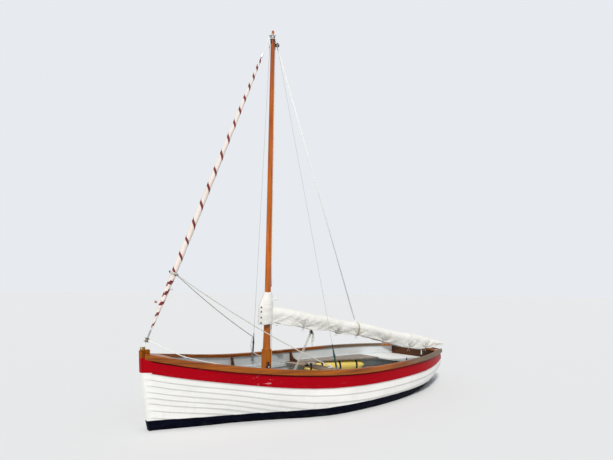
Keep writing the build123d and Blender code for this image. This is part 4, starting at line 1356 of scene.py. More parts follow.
@dataclass
class HeadSail(Assembly):
    """The jib: cut flat as a triangle, then rolled on its headstay, with its drum and strop.

    Args:
        tack, head: The ends of the headstay's line.
        foot_at, clew_at, head_at: Distances from the tack along the stay of the sail's corners.
        width: The sail's width at the clew.
        core: The radius that it is rolled on.
        strip: The width of the dark strip along its leech and foot.
        turn_parts: How many faces there are in a turn.
        row: The height of a row of faces.
        line_parts: How many parts a turn of line has.
        drum_wraps, clew_wraps: The turns of line on the drum and of the sheets at the clew.
    """

    tack: Point = (2.470, 0, 0.845)
    head: Point = (0.868, 0, 5.018)
    foot_at: float = 0.215
    clew_at: float = 0.86
    head_at: float = 4.078
    width: float = 2.0
    core: float = 0.0075
    strip: float = 0.034
    turn_parts: int = 20
    row: float = 0.025
    line_parts: int = 24
    drum_wraps: int = 4
    clew_wraps: int = 3

    def __post_init__(self) -> None:
        """Works out the stay's own frame."""
        self.start = Vector(self.tack)
        self.along = (Vector(self.head) - self.start).normalized()
        self.side = Y_AXIS.copy()
        self.fore = self.side.cross(self.along).normalized()

    def outer(self, reach: float) -> float:
        """The roll's radius.

        Args:
            reach: The distance from the tack.

        Returns:
            The radius there.
        """
        table = [(0.215, 0.014), (0.48, 0.023), (0.86, 0.0335), (1.4, 0.034), (2.4, 0.031), (3.4, 0.0245),
                 (4.0, 0.0175), (4.08, 0.0115)]
        for (a, low), (b, high) in zip(table, table[1:]):
            if reach <= b:
                return low + (high - low) * max(0.0, (reach - a) / (b - a))
        return table[-1][1]

    def cut_width(self, reach: float) -> float:
        """The flat sail's width.

        Args:
            reach: The distance from the tack.

        Returns:
            The width there.
        """
        if reach < self.clew_at:
            return self.width * (reach - self.foot_at) / (self.clew_at - self.foot_at)
        return self.width * (self.head_at - reach) / (self.head_at - self.clew_at)

    def at(self, reach: float, radius: float, angle: float) -> Vector:
        """A point round the stay, by its distance from the tack, its radius and its angle from ahead."""
        return self.start + self.along * reach + spoke(self.fore, self.side, angle) * radius

    def ridge(self, reach: float, angle: float) -> float:
        """How far the roll bulges at a place: the cloth is never rolled quite evenly."""
        place = Vector((math.cos(angle) * 0.6, math.sin(angle) * 0.6, reach * 9))
        return noise.noise(place) * 0.0022 + 0.0012 * math.sin(angle - reach * 24)

    def build(self) -> None:
        """Rolls the sail and adds drum, strop and clew."""
        self.roll()
        drum = dress("furling_drum", [self.locker["black"], self.locker["galvanised"]], 0.001)
        for polygon in drum.data.polygons:
            polygon.material_index = 1 if (polygon.center - self.start).dot(self.along) > 0.132 else 0
        for node in ("tack_strop", "jib_halyard"):
            piece = dress(node, [self.locker["rope"]], 0)
            lay_run(piece, [self.rope_run(v.co) for v in piece.data.vertices])
        self.drum_turns()
        self.clew()

    def rope_run(self, corner: Vector) -> tuple[float, float, float]:
        """The lay of a rope on the stay.

        Args:
            corner: A vertex of the rope.

        Returns:
            The length along the stay and the way round it.
        """
        off = corner - self.start
        angle = math.atan2(off.dot(self.side), off.dot(self.fore))
        return off.dot(self.along), angle / math.tau, 0.0

    def tightness(self, reach: float) -> float:
        """The layers' spacing that gives the roll its radius at a distance from the tack."""
        wide = max(self.cut_width(reach), 0.05)
        return math.pi * (self.outer(reach) ** 2 - self.core**2) / wide

    def roll(self) -> None:
        """Cuts the flat sail, with its dark strip, and rolls it round the stay."""
        spacing = self.tightness(self.clew_at)
        turns = (self.outer(self.clew_at) - self.core) / spacing
        count = math.ceil(turns * self.turn_parts)
        arcs = [0.0]
        for k in range(1, count + 1):
            angle = k * math.tau / self.turn_parts
            arcs.append(((self.core + spacing * angle / math.tau) ** 2 - self.core**2) * math.pi / spacing)
        arcs[-1] = max(arcs[-1], self.width)
        rows = math.ceil((self.head_at - self.foot_at) / self.row)
        heights = [self.foot_at + (self.head_at - self.foot_at) * k / rows for k in range(rows + 1)]
        flat = bmesh.new()
        grid = [[flat.verts.new((arc, height, 0)) for arc in arcs] for height in heights]
        for low, high in zip(grid, grid[1:]):
            for k in range(count):
                flat.faces.new((low[k], low[k + 1], high[k + 1], high[k]))
        clew = Vector((self.width, self.clew_at, 0))
        for start, end in ((Vector((0, self.foot_at, 0)), clew), (clew, Vector((0, self.head_at, 0)))):
            out = Vector((end.y - start.y, start.x - end.x, 0)).normalized()
            for inset, trim in ((0.0, True), (self.strip, False)):
                bmesh.ops.bisect_plane(
                    flat, geom=flat.verts[:] + flat.edges[:] + flat.faces[:], plane_co=start - out * inset,
                    plane_no=out, clear_outer=trim,
                )
        for face in flat.faces:
            middle = face.calc_center_median()
            reach, angle = middle.y, self.wound(middle.x, middle.y)[1]
            low = reach < self.clew_at - 0.06 and math.cos(angle - 52 * reach) > 0.35 + 0.7 * (0.6 - reach)
            face.material_index = 1 if (clew - middle).dot(out) < self.strip or low else 0
            face.smooth = True
        runs = []
        clew_angle = self.wound(self.width, self.clew_at)[1]
        for vert in flat.verts:
            arc, reach = vert.co.x, vert.co.y
            runs.append((reach, arc, 0.0))
            radius, angle = self.wound(arc, reach)
            angle += math.pi * 0.86 - clew_angle
            vert.co = self.at(reach, radius + self.ridge(reach, angle), angle)
        piece = linked("furled_sail", settled("furled_sail", flat))
        for finish in ("sail", "sail_strip"):
            piece.data.materials.append(self.locker[finish])
        lay_run(piece, runs)
        adopt(piece, Body.JIB, "sailcloth", "furled_jib")
        core = [self.at(reach, 0, 0) for reach in (self.foot_at - 0.002, 1.5, 3.0, self.head_at)]
        adopt(tube("luff_wire", core, 0.004, self.locker["wire"], 10), Body.JIB, "steel")

    def wound(self, arc: float, reach: float) -> tuple[float, float]:
        """Where a place on the flat sail is when rolled.

        Args:
            arc: Its distance from the stay.
            reach: Its distance from the tack.

        Returns:
            Its radius and its angle.
        """
        spacing = self.tightness(reach if reach > self.clew_at else self.clew_at)
        radius = math.sqrt(self.core**2 + arc * spacing / math.pi)
        return radius, (radius - self.core) / spacing * math.tau

    def drum_turns(self) -> None:
        """The furling line's turns on the drum."""
        line = []
        for k, angle in enumerate(angles(self.line_parts, self.drum_wraps)):
            climb = 0.5 - 0.5 * math.cos(math.pi * k / (self.drum_wraps * self.line_parts))
            line.append(self.at(0.0925 + 0.026 * climb, 0.0185 + 0.002 * math.sin(k * 0.11), angle))
        adopt(tube("drum_line", line, 0.0024, self.locker["strap"], 8), Body.JIB, "white_rope")

    def clew(self) -> None:
        """The sheets' wraps round the roll at the clew, and short tails with their knots and toggle."""
        line = []
        for k, angle in enumerate(angles(self.line_parts, self.clew_wraps)):
            height = self.clew_at + 0.004 + 0.022 * k / (self.clew_wraps * self.line_parts)
            line.append(self.at(height, self.outer(self.clew_at) + 0.0075, angle))
        wraps = joined("sheet_wraps", [tube("wrap", line, 0.0042, self.locker["sheet_rope"], 10)])
        adopt(wraps, Body.JIB, "white_rope")
        profile = [(0, -0.018), (0.008, -0.014), (0.0135, 0), (0.010, 0.012), (0, 0.017)]
        for name, reach, angle, out, finish in (
            ("clew_toggle", 0.500, -0.15, 0.044, "red"), ("reef_knot", 0.690, math.pi * 0.92, 0.014, "white_plastic"),
            ("knot_fore", 0.868, -0.5, 0.010, "black"), ("knot_aft", 0.862, math.pi * 0.98, 0.010, "black"),
        ):
            foot = self.at(reach, self.outer(reach) - 0.002, angle)
            tip = self.at(reach + 0.012, self.outer(reach) + out, angle)
            line = fair_line([foot, foot.lerp(tip, 0.5) - Z_AXIS * 0.006, tip], 0.01)
            tail = tube("tail", line, 0.0045, self.locker["rope"], 8)
            knob = turned("knob", profile, tip, tip - foot, self.locker[finish], 18)
            adopt(joined(name, [tail, knob]), Body.JIB, "white_rope")


@dataclass
class BoomCover(Assembly):
    """The canvas over the stowed sail, laced under the boom, and the collar laced round the mast.

    Args:
        mast_x: Where the boom's jaws turn.
        swing: The boom's angle to port of the centreline, in degrees.
        rows: The cover's reach aft of the mast, with its top, its bottom and its half width there.
        pinches: The reach of the ties that gather it.
        around, length_parts: How many faces it has from hem to hem and along the boom.
        shoulder: The share from the ridge where the cloth starts to hang.
        hem: The hem's share of the half width.
        collar_rows: The collar's heights, with its reach forward, aft and to each side.
        collar_parts, collar_around: How many faces it has up and round the mast.
        mast_room: The radius round the mast that the collar stays clear of.
        strap_at, strap_wide: The tan strap's reach and its width.
        strap_rows, strap_around, strap_under: Its rows, the faces round it and those of them under the boom.
        hang_at: The reach of the tie that hangs aft.
    """

    mast_x: float = 0.815
    swing: float = 8.0
    rows: tuple[tuple[float, float, float, float], ...] = (
        (0.046, 1.256, 1.054, 0.052), (0.084, 1.256, 1.052, 0.060), (0.30, 1.228, 1.012, 0.076),
        (0.52, 1.189, 0.978, 0.082), (0.75, 1.142, 0.926, 0.084), (1.00, 1.102, 0.912, 0.086),
        (1.25, 1.048, 0.845, 0.088), (1.50, 1.008, 0.821, 0.088), (1.80, 0.957, 0.758, 0.086),
        (2.10, 0.889, 0.680, 0.086), (2.40, 0.825, 0.598, 0.082), (2.65, 0.790, 0.556, 0.080),
        (2.90, 0.745, 0.540, 0.072), (3.10, 0.696, 0.545, 0.062), (3.405, 0.617, 0.545, 0.044),
    )
    pinches: tuple[float, ...] = (0.565, 1.14, 1.52, 2.05, 2.62, 3.0)
    around: int = 84
    length_parts: int = 300
    shoulder: float = 0.42
    hem: float = 0.86
    collar_rows: tuple[tuple[float, float, float, float], ...] = (
        (1.035, 0.127, 0.080, 0.070), (1.06, 0.130, 0.080, 0.072), (1.16, 0.131, 0.081, 0.075),
        (1.262, 0.129, 0.080, 0.074), (1.29, 0.119, 0.079, 0.071), (1.40, 0.069, 0.062, 0.057),
        (1.45, 0.053, 0.054, 0.0525),
    )
    collar_parts: int = 60
    collar_around: int = 72
    mast_room: float = 0.0475
    strap_at: float = 1.515
    strap_wide: float = 0.026
    strap_rows: int = 5
    strap_around: int = 60
    strap_under: int = 12
    hang_at: float = 2.86

    def __post_init__(self) -> None:
        """Works out the boom's own frame."""
        angle = math.radians(self.swing)
        self.aft = Vector((-math.cos(angle), math.sin(angle), 0))
        self.port = Vector((math.sin(angle), math.cos(angle), 0))
        self.mast = Vector((self.mast_x, 0, 0))

    def at(self, reach: float, across: float, height: float) -> Vector:
        """A point by its distance aft of the mast, its distance to port of the boom and its height."""
        return self.mast + self.aft * reach + self.port * across + Z_AXIS * height

    def level(self, reach: float) -> tuple[float, float, float]:
        """The cover's sizes, on a smooth line through its rows.

        Args:
            reach: The distance aft of the mast.

        Returns:
            Its top, its bottom and its half width there.
        """
        rows = self.rows
        i = max(k for k in range(len(rows) - 1) if reach >= rows[k][0] or k == 0)
        span = rows[i + 1][0] - rows[i][0]
        t = (reach - rows[i][0]) / span
        out = []
        for column in (1, 2, 3):
            def slope(k: int, c: int = column) -> float:
                """The line's slope at a row."""
                before, after = rows[max(k - 1, 0)], rows[min(k + 1, len(rows) - 1)]
                return (after[c] - before[c]) / (after[0] - before[0])
            out.append(
                (2 * t**3 - 3 * t**2 + 1) * rows[i][column] + (t**3 - 2 * t**2 + t) * span * slope(i)
                + (3 * t**2 - 2 * t**3) * rows[i + 1][column] + (t**3 - t**2) * span * slope(i + 1)
            )
        return tuple(out)

    def wrinkle(self, reach: float, share: float) -> float:
        """How far the cloth stands out: folds that fan from the ties, broad hollows and small creases.

        Args:
            reach: The distance aft of the mast.
            share: From -1 at the starboard hem over the ridge to 1 at the port hem.

        Returns:
            The distance outward, in metres.
        """
        sign = 1 if share > 0 else -1
        side = min(1.0, abs(share) / 0.3)
        up = (1 - abs(share)) * 0.27
        out = 0.0
        for k, tie in enumerate(self.pinches):
            far = math.hypot(reach - tie, up)
            if far < 0.6:
                turn = math.atan2(up, reach - tie)
                stray = 2 * noise.noise(Vector((far * 5, k, sign)))
                fan = math.cos(turn * (6.5 + 0.7 * (k % 3)) + 1.3 * k * sign + stray)
                out += fan * 0.008 * min(1.0, far / 0.06) * math.exp(-far / 0.17)
                out -= 0.014 * math.exp(-((far / 0.05) ** 2))
        broad = noise.noise(Vector((reach * 2.6, up * 7, 5.1 * sign)))
        slant = noise.noise(Vector((reach * 7 - up * 9, up * 3 + reach, 1.7 * sign)))
        small = noise.noise(Vector((reach * 16 + up * 20, up * 34, 2.2)))
        return side * (out + broad * 0.010 + (1 - 2 * abs(slant) ** 0.8) * 0.005) + small * 0.0024

    def section(self, reach: float, share: float, out: float = 0.0) -> Vector:
        """A point of the cover: rounded over the ridge, then hanging down to its hem.

        Args:
            reach: The distance aft of the mast.
            share: From -1 at the starboard hem over the ridge to 1 at the port hem.
            out: How far the point stands off the cloth.

        Returns:
            The point.
        """
        top, bottom, half = self.level(reach)
        out += self.wrinkle(reach, share)
        tall, near = top - bottom, abs(share)
        gather = sum(math.exp(-(((reach - tie) / 0.055) ** 2)) for tie in self.pinches)
        if near < self.shoulder:
            turn = near / self.shoulder * math.pi / 2
            y = (half + out) * math.sin(turn)
            z = top - self.shoulder * tall * (1 - math.cos(turn)) + out * math.cos(turn)
        else:
            fall = (near - self.shoulder) / (1 - self.shoulder)
            blend = fall * fall * (3 - 2 * fall)
            y = half * (1 - (1 - self.hem * (1 - 0.4 * gather)) * blend) + out
            sway = noise.noise(Vector((reach * 7.5, 9.0 if share > 0 else -9.0, 3.3)))
            z = top - self.shoulder * tall - (1 - self.shoulder) * tall * fall - blend * 0.008 * sway
            y += blend * 0.014 * sway
        return self.at(reach, math.copysign(max(y, 0.006), share), z)

    def build(self) -> None:
        """Makes the cover, the collar and everything tied to them."""
        self.cover()
        self.collar()
        self.strap()
        self.ties()

    def cover(self) -> None:
        """The long sheet of canvas over the boom, open along its bottom."""
        first, last = self.rows[0][0], self.rows[-1][0]
        rows = []
        for i in range(self.length_parts + 1):
            reach = first + (last - first) * i / self.length_parts
            shares = [2 * k / self.around - 1 for k in range(self.around + 1)]
            rows.append([(self.section(reach, share), (reach, share * 0.27, 0)) for share in shares])
        piece = skin("sail_cover", rows, self.locker["canvas"], inward=True)
        thicken(piece, 0.0016)
        adopt(piece, Body.BOOM, "canvas", "boom_cover")

    def collar(self) -> None:
        """The collar round the mast: one cloth whose two hems are laced together in front."""
        rows = []
        for i in range(self.collar_parts + 1):
            low, high = self.collar_rows[0][0], self.collar_rows[-1][0]
            height = low + (high - low) * i / self.collar_parts
            sizes = self.collar_at(height)
            shares = [2 * k / self.collar_around - 1 for k in range(self.collar_around + 1)]
            rows.append([(self.collar_point(t, height, *sizes), (height, t * 0.26, 0)) for t in shares])
        piece = skin("mast_coat", rows, self.locker["canvas"])
        thicken(piece, 0.0018, 0)
        adopt(piece, Body.BOOM, "canvas", "mast_collar")
        self.eyelets()

    def collar_at(self, height: float) -> tuple[float, float, float]:
        """The collar's sizes.

        Args:
            height: A height.

        Returns:
            Its reach forward, aft and to each side there.
        """
        for low, high in zip(self.collar_rows, self.collar_rows[1:]):
            if height <= high[0]:
                t = (height - low[0]) / (high[0] - low[0])
                return tuple(a + (b - a) * t for a, b in zip(low[1:], high[1:]))
        return self.collar_rows[-1][1:]

    def collar_point(self, t: float, height: float, fore: float, aft: float, half: float) -> Vector:
        """A point of the collar.

        Args:
            t: From one hem at -1, round behind the mast, to the other hem at 1.
            height: The point's height.
            fore, aft, half: The collar's reach forward, aft and to each side there.

        Returns:
            The point.
        """
        angle = math.pi * (1 - abs(t))
        reach = (aft - fore) / 2 - (fore + aft) / 2 * math.cos(angle)
        nose = max(0.0, (abs(t) - 0.55) / 0.45)
        wide = half * math.sin(angle) ** (1 + 0.9 * nose) + 0.0022
        sway = noise.noise(Vector((t * 3, height * 16, 7.7)))
        crease = noise.noise(Vector((t * 9, height * 46, 2.9)))
        wide *= 1 + 0.07 * sway + 0.03 * crease
        if abs(reach) < self.mast_room:
            wide = max(wide, math.sqrt(self.mast_room**2 - reach**2))
        return self.at(reach, math.copysign(wide, t), height + 0.003 * math.sin(t * 17))

    def eyelets(self) -> None:
        """Four dark eyelets on each face of the collar's front flap, with a lacing through them."""
        parts = []
        heights = [1.2526, 1.197, 1.123, 1.056]
        profile = [(0, 0.0), (0.0125, 0.0), (0.0125, 0.0018), (0.009, 0.0028), (0.006, 0.0015), (0, 0.0015)]
        discs = {}
        for height in heights:
            row = self.collar_at(height)
            for side in Side:
                t = side.value * 0.80
                spot = self.collar_point(t, height, *row)
                ahead = self.collar_point(t + side.value * 0.02, height, *row) - spot
                out = ahead.cross(Z_AXIS) * -side.value
                out *= math.copysign(1, out.dot(self.port) * side.value)
                discs[height, side] = spot + out.normalized() * 0.002
                foot = spot - out.normalized() * 0.0005
                parts.append(turned("eyelet", profile, foot, out, self.locker["black"], 20))
        for height, low in zip(heights, heights[1:]):
            fore = self.collar_at(height)[0]
            for side, other in ((Side.PORT, Side.STARBOARD), (Side.STARBOARD, Side.PORT)):
                front = self.at(-(fore + 0.004), side.value * 0.003, (height + low) / 2)
                lace = fair_line([discs[height, side], front, discs[low, other]], 0.006)
                parts.append(tube("lace", lace, 0.0021, self.locker["rope"], 8))
        adopt(joined("collar_lacing", parts), Body.BOOM, "white_rope")

    def strap(self) -> None:
        """The tan strap round the cover, where the topping lift holds the boom."""
        rows = []
        for j in range(self.strap_rows):
            along = self.strap_at + self.strap_wide * (j / (self.strap_rows - 1) - 0.5)
            over = self.strap_around - self.strap_under
            loop = [self.section(along, 2 * k / over - 1, 0.0035) for k in range(over + 1)]
            loop += [loop[-1].lerp(loop[0], k / self.strap_under) for k in range(1, self.strap_under)]
            rows.append([
                (point - Z_AXIS * (0.004 if k > over else 0), (along, k / self.strap_around * 0.6, 0))
                for k, point in enumerate(loop)
            ])
        piece = skin("lift_strap", rows, self.locker["strap"], ring=True, inward=True)
        thicken(piece, 0.0022, 1)
        adopt(piece, Body.BOOM, "canvas")

    def ties(self) -> None:
        """The tie ends at the collar, the lacing under the boom and the long tie that hangs aft."""
        rope = self.locker["rope"]
        parts = []
        toggle = [(0, -0.018), (0.013, -0.010), (0.015, 0.004), (0, 0.018)]
        for height, out, drop in ((1.352, 0.044, -0.010), (1.050, 0.036, 0.020)):
            _, aft, half = self.collar_at(height)
            start = self.at(aft * 0.6, half * 0.72, height)
            tip = self.at(aft + out * 0.55, half + out * 0.25, height - drop)
            line = fair_line([start, start.lerp(tip, 0.5) + Z_AXIS * 0.006, tip], 0.01)
            parts.append(tube("tie", line, 0.0075, rope, 10))
            parts.append(turned("tie", toggle, tip, tip - start, rope, 14))
        neck = [self.at(0.0565 * math.cos(a), 0.0565 * math.sin(a), 1.425 + 0.0025 * math.sin(2 * a))
                for a in angles(48, 2)]
        parts.append(tube("tie", neck, 0.0034, rope, 8))
        knob = [(0, -0.010), (0.008, -0.004), (0.008, 0.005), (0, 0.010)]
        for reach in self.pinches:
            knot = self.at(reach, 0.0, self.level(reach)[1] - 0.004)
            parts.append(tube("tie", [self.section(reach, -0.97), knot, self.section(reach, 0.97)], 0.0026, rope, 8))
            for sign in (-1, 1):
                line = [knot, knot + self.port * 0.014 * sign - Z_AXIS * 0.016,
                        knot + self.port * 0.010 * sign + self.aft * 0.012 * sign - Z_AXIS * 0.045]
                parts.append(tube("tie", fair_line(line, 0.008), 0.0026, rope, 8))
            parts.append(turned("tie", knob, knot, Z_AXIS, rope, 14))
        reach, bottom = self.hang_at, self.level(self.hang_at)[1]
        hang = [self.at(reach + aft, across, bottom + up) for aft, across, up in (
            (0, 0.05, 0.01), (0.002, 0.054, -0.03), (0.006, 0.052, -0.062), (0, 0.05, -0.095))]
        parts.append(tube("tie", fair_line(hang, 0.01), 0.0085, rope, 10))
        adopt(joined("cover_ties", parts), Body.BOOM, "white_rope")


@dataclass
class Rigging(Assembly):
    """Shrouds' lanyards, topping lift, halyards, jib sheets, mainsheet and furling line.

    Args:
        cover: The boom's cover, for places along the boom.
        sail: The jib, for its clew.
        thick, thin: The radius of the sheets and of the light lines.
        lanyard_turns, lanyard_wraps: How often a lanyard runs up and down, and is wrapped round.
        lift_at, lift_top: The reach of the topping lift along the boom, and its height at the mast.
        lift_ring: The radius of its eye round the mast.
        port_lead: The port jib sheet's lead on the rail.
        port_cleat, starboard_cleat: Where the jib sheets' cleats stand.
        sheet_at, sheet_foot: The mainsheet's reach along the boom and its lower block.
        furling_lead_at: The furling line's lead on the rail.
    """

    cover: BoomCover
    sail: HeadSail
    thick: float = 0.0062
    thin: float = 0.0045
    lanyard_turns: int = 4
    lanyard_wraps: int = 5
    lift_at: float = 1.50
    lift_top: float = 4.990
    lift_ring: float = 0.0375
    port_lead: Point = (0.50, 0.848, 0.580)
    port_cleat: Point = (-0.33, 0.62, 0.338)
    starboard_cleat: Point = (-0.30, -0.44, 0.338)
    sheet_at: float = 0.705
    sheet_foot: Point = (0.339, 0.0, 0.372)
    furling_lead_at: Point = (2.125, 0.268, 0.770)

    def build(self) -> None:
        """Makes every line."""
        self.shrouds()
        self.lift()
        self.halyards()
        self.jib_sheets()
        self.main_sheet()
        self.furling_line()

    def rope(self, name: str, line: Sequence[Point], radius: float, finish: str = "rope") -> None:
        """Makes one line of rope as a piece of the hull."""
        adopt(tube(name, line, radius, self.locker[finish]), Body.HULL, "white_rope")

    @staticmethod
    def ends(node: str, side: Side) -> tuple[Vector, Vector]:
        """Where a straight rod ends.

        Args:
            node: The CAD node of a pair of rods.
            side: Which one of the pair.

        Returns:
            The middles of its low and its high end.
        """
        corners = [v.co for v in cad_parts[node].data.vertices if v.co.y * side.value > 0]
        low, high = min(c.z for c in corners), max(c.z for c in corners)
        near = 0.012
        feet = [c for c in corners if c.z < low + near]
        tops = [c for c in corners if c.z > high - near]
        return sum(feet, Vector()) / len(feet), sum(tops, Vector()) / len(tops)

    def shrouds(self) -> None:
        """The wires' lay, and each lanyard as turns of rope with a wrapping round them."""
        wires = dress("shrouds", [self.locker["wire"]], 0)
        spans = {side: self.ends("shrouds", side) for side in Side}
        runs = []
        for v in wires.data.vertices:
            foot, head = spans[Side.PORT if v.co.y > 0 else Side.STARBOARD]
            ahead = (head - foot).normalized()
            off = v.co - foot
            across = ahead.orthogonal().normalized()
            runs.append((off.dot(ahead), math.atan2(off.dot(ahead.cross(across)), off.dot(across)) / math.tau, 0))
        lay_run(wires, runs)
        rope, parts, eyes = self.locker["teal_rope"], [], []
        for side in Side:
            foot, head = self.ends("lanyards", side)
            ahead = (head - foot).normalized()
            across = ahead.cross(X_AXIS).normalized()
            other = ahead.cross(across)
            for k in range(self.lanyard_turns):
                angle = math.tau * (k + 0.5) / self.lanyard_turns
                out = spoke(across, other, angle)
                line = [foot.lerp(head, t) + out * off
                        for t, off in ((0, 0.0066), (0.3, 0.0074), (0.7, 0.0066), (1, 0.0046))]
                parts.append(tube("turn", fair_line(line, 0.03), 0.0045, rope, 10))
            wrap = []
            for k, angle in enumerate(angles(16, self.lanyard_wraps)):
                share = 0.60 + 0.16 * k / (self.lanyard_wraps * 16)
                wrap.append(foot.lerp(head, share) + spoke(across, other, angle) * 0.0125)
            parts.append(tube("turn", wrap, 0.0028, rope, 8))
            eye = [head + ahead * off for off in (-0.004, 0.012, 0.075)]
            eyes.append(tube("eye", eye, lambda t: 0.0075 - 0.0035 * t, self.locker["black"], 12))
        adopt(joined("lanyard_turns", parts), Body.HULL, "teal_rope", "lanyards")
        adopt(joined("shroud_eyes", eyes), Body.HULL, "black_plastic")

    def lift(self) -> None:
        """The topping lift: a thick rope from the masthead to the strap round the boom."""
        cover, high, rope = self.cover, self.lift_top, self.locker["rope"]
        low = cover.at(self.lift_at, 0.0, cover.level(self.lift_at)[0] + 0.010)
        top = cover.at(0.041, 0, high)
        ring = [cover.at(self.lift_ring * math.cos(a), self.lift_ring * math.sin(a), high) for a in angles(40)]
        splice = [cover.at(0.041, 0, high + 0.003), cover.at(0.066, 0, high - 0.07)]
        parts = [tube("lift", ring, 0.0046, rope), tube("lift", [top, low], self.thick * 1.3, rope),
                 tube("lift", splice, 0.0095, rope)]
        adopt(joined("topping_lift_rope", parts), Body.BOOM, "white_rope", "topping_lift")
        profile = [(0, -0.02), (0.010, -0.016), (0.013, 0), (0.010, 0.018), (0, 0.03)]
        adopt(turned("lift_hitch", profile, low, top - low, rope, 18), Body.BOOM, "white_rope")

    def halyards(self) -> None:
        """The white halyard down the mast's aft side, a thin one beside it, their turns, and a black strap aft that
        stands in for a shadow on the stern seat.
        """
        main = [(0.757, -0.02, 4.92), (0.765, 0.006, 4.6), (0.766, 0.010, 3.0), (0.766, 0.012, 1.52)]
        self.rope("main_halyard", fair_line(main, 0.3), self.thick * 1.2)
        fall = [(0.766, 0.012, 1.52), (0.7685, 0.010, 1.44), (0.764, 0.012, 1.3), (0.760, 0.018, 1.0),
                (0.757, 0.024, 0.8), (0.760, 0.030, 0.50), (0.762, 0.034, 0.352)]
        self.rope("halyard_fall", fair_line(fall, 0.05), self.thick * 1.2)
        jib = [(0.809, -0.037, 4.90), (0.809, -0.041, 3.0), (0.809, -0.0455, 1.45), (0.809, -0.048, 1.05),
               (0.809, -0.062, 0.70)]
        self.rope("jib_halyard_fall", fair_line(jib, 0.3), self.thin)
        turns = []
        for k, angle in enumerate(angles(20, 3)):
            height = 0.62 + 0.05 * math.sin(angle + 0.6 * math.cos(angle))
            turns.append((0.815 + 0.010 * math.sin(angle), -0.072 - 0.002 * k / 20, height))
        adopt(tube("cleat_turns", turns, 0.0036, self.locker["rope"], 8), Body.HULL, "white_rope")
        # A black strap across the stern seat, standing in for a cast shadow there.
        seat = [(-2.10, 0.10, 0.345), (-1.87, 0.26, 0.349), (-1.66, 0.42, 0.349), (-1.56, 0.50, 0.345)]
        adopt(tube("seat_strap", fair_line(seat, 0.02), 0.009, self.locker["black_strap"]), Body.HULL, "black_plastic")

    def jib_sheets(self) -> None:
        """Both jib sheets, from the clew to their leads and cleats."""
        sail, plastic = self.sail, self.locker["white_plastic"]
        start = {side: sail.at(sail.clew_at + 0.015, sail.outer(sail.clew_at) + 0.008, math.pi - side.value * 0.15)
                 for side in Side}
        lead = Vector(self.port_lead)
        inside = fair_line([lead, (0.47, 0.835, 0.570), (0.30, 0.80, 0.47), (0.10, 0.75, 0.40), (-0.33, 0.62, 0.352)])
        line = sagging(start[Side.PORT], lead, 0.055) + inside[1:]
        self.rope("port_jib_sheet", line, self.thick * 0.9, "sheet_rope")
        head = self.ends("lanyards", Side.STARBOARD)[1] + Vector((0.012, -0.014, 0.02))
        down = fair_line([head, (0.46, -0.845, 0.64), (0.40, -0.825, 0.53), (0.10, -0.68, 0.41), (-0.30, -0.44, 0.352)])
        line = sagging(start[Side.STARBOARD], head, 0.03) + down[1:]
        self.rope("starboard_jib_sheet", line, self.thick * 0.9, "sheet_rope")
        profile = [(0.012, -0.006), (0.018, -0.006), (0.020, 0), (0.018, 0.006), (0.012, 0.006), (0.010, 0),
                   (0.012, -0.006)]
        ring = turned("lead_ring", profile, (0.498, 0.848, 0.580), Vector((1, 0.2, -0.6)), plastic, 24)
        base = shaped_block("lead_ring", (0.498, 0.856, 0.566), (0.060, 0.026, 0.010), plastic, 0.003)
        adopt(joined("port_sheet_lead", [ring, base]), Body.HULL, "white_rope")
        for side, place in ((Side.PORT, self.port_cleat), (Side.STARBOARD, self.starboard_cleat)):
            adopt(self.jam_cleat(f"jam_cleat_{side.name.lower()}", place), Body.HULL, "black_plastic")

    def jam_cleat(self, name: str, foot: Point) -> Piece:
        """A cleat with two jaws on a flat base, with a coil of the sheet behind it.

        Args:
            name: The piece's name.
            foot: Where it stands.

        Returns:
            The piece.
        """
        x, y, z = foot
        black = self.locker["black"]
        parts = [shaped_block("cleat", (x, y, z), (0.070, 0.046, 0.016), black, 0.004)]
        jaw = [(0, 0), (0.0115, 0), (0.0125, 0.008), (0.0115, 0.018), (0, 0.02)]
        for sign in (-1, 1):
            parts.append(turned("cleat", jaw, (x + 0.004, y + sign * 0.0145, z + 0.007), Z_AXIS, black, 18))
        line = [(x + 0.02, y, z + 0.016)]
        rng = random.Random(len(name))
        for k in range(70):
            angle = math.tau * k / 22
            wide = 0.06 + 0.012 * math.sin(k * 0.37) + rng.uniform(-0.003, 0.003)
            line.append((x - 0.10 + wide * math.cos(angle), y + wide * math.sin(angle), z + 0.002 + 0.0012 * k / 4))
        line[1:3] = [(x - 0.02, y, z + 0.012)]
        parts.append(tube("cleat", fair_line(line, 0.012), 0.0052, self.locker["sheet_rope"], 8))
        return joined(name, parts)

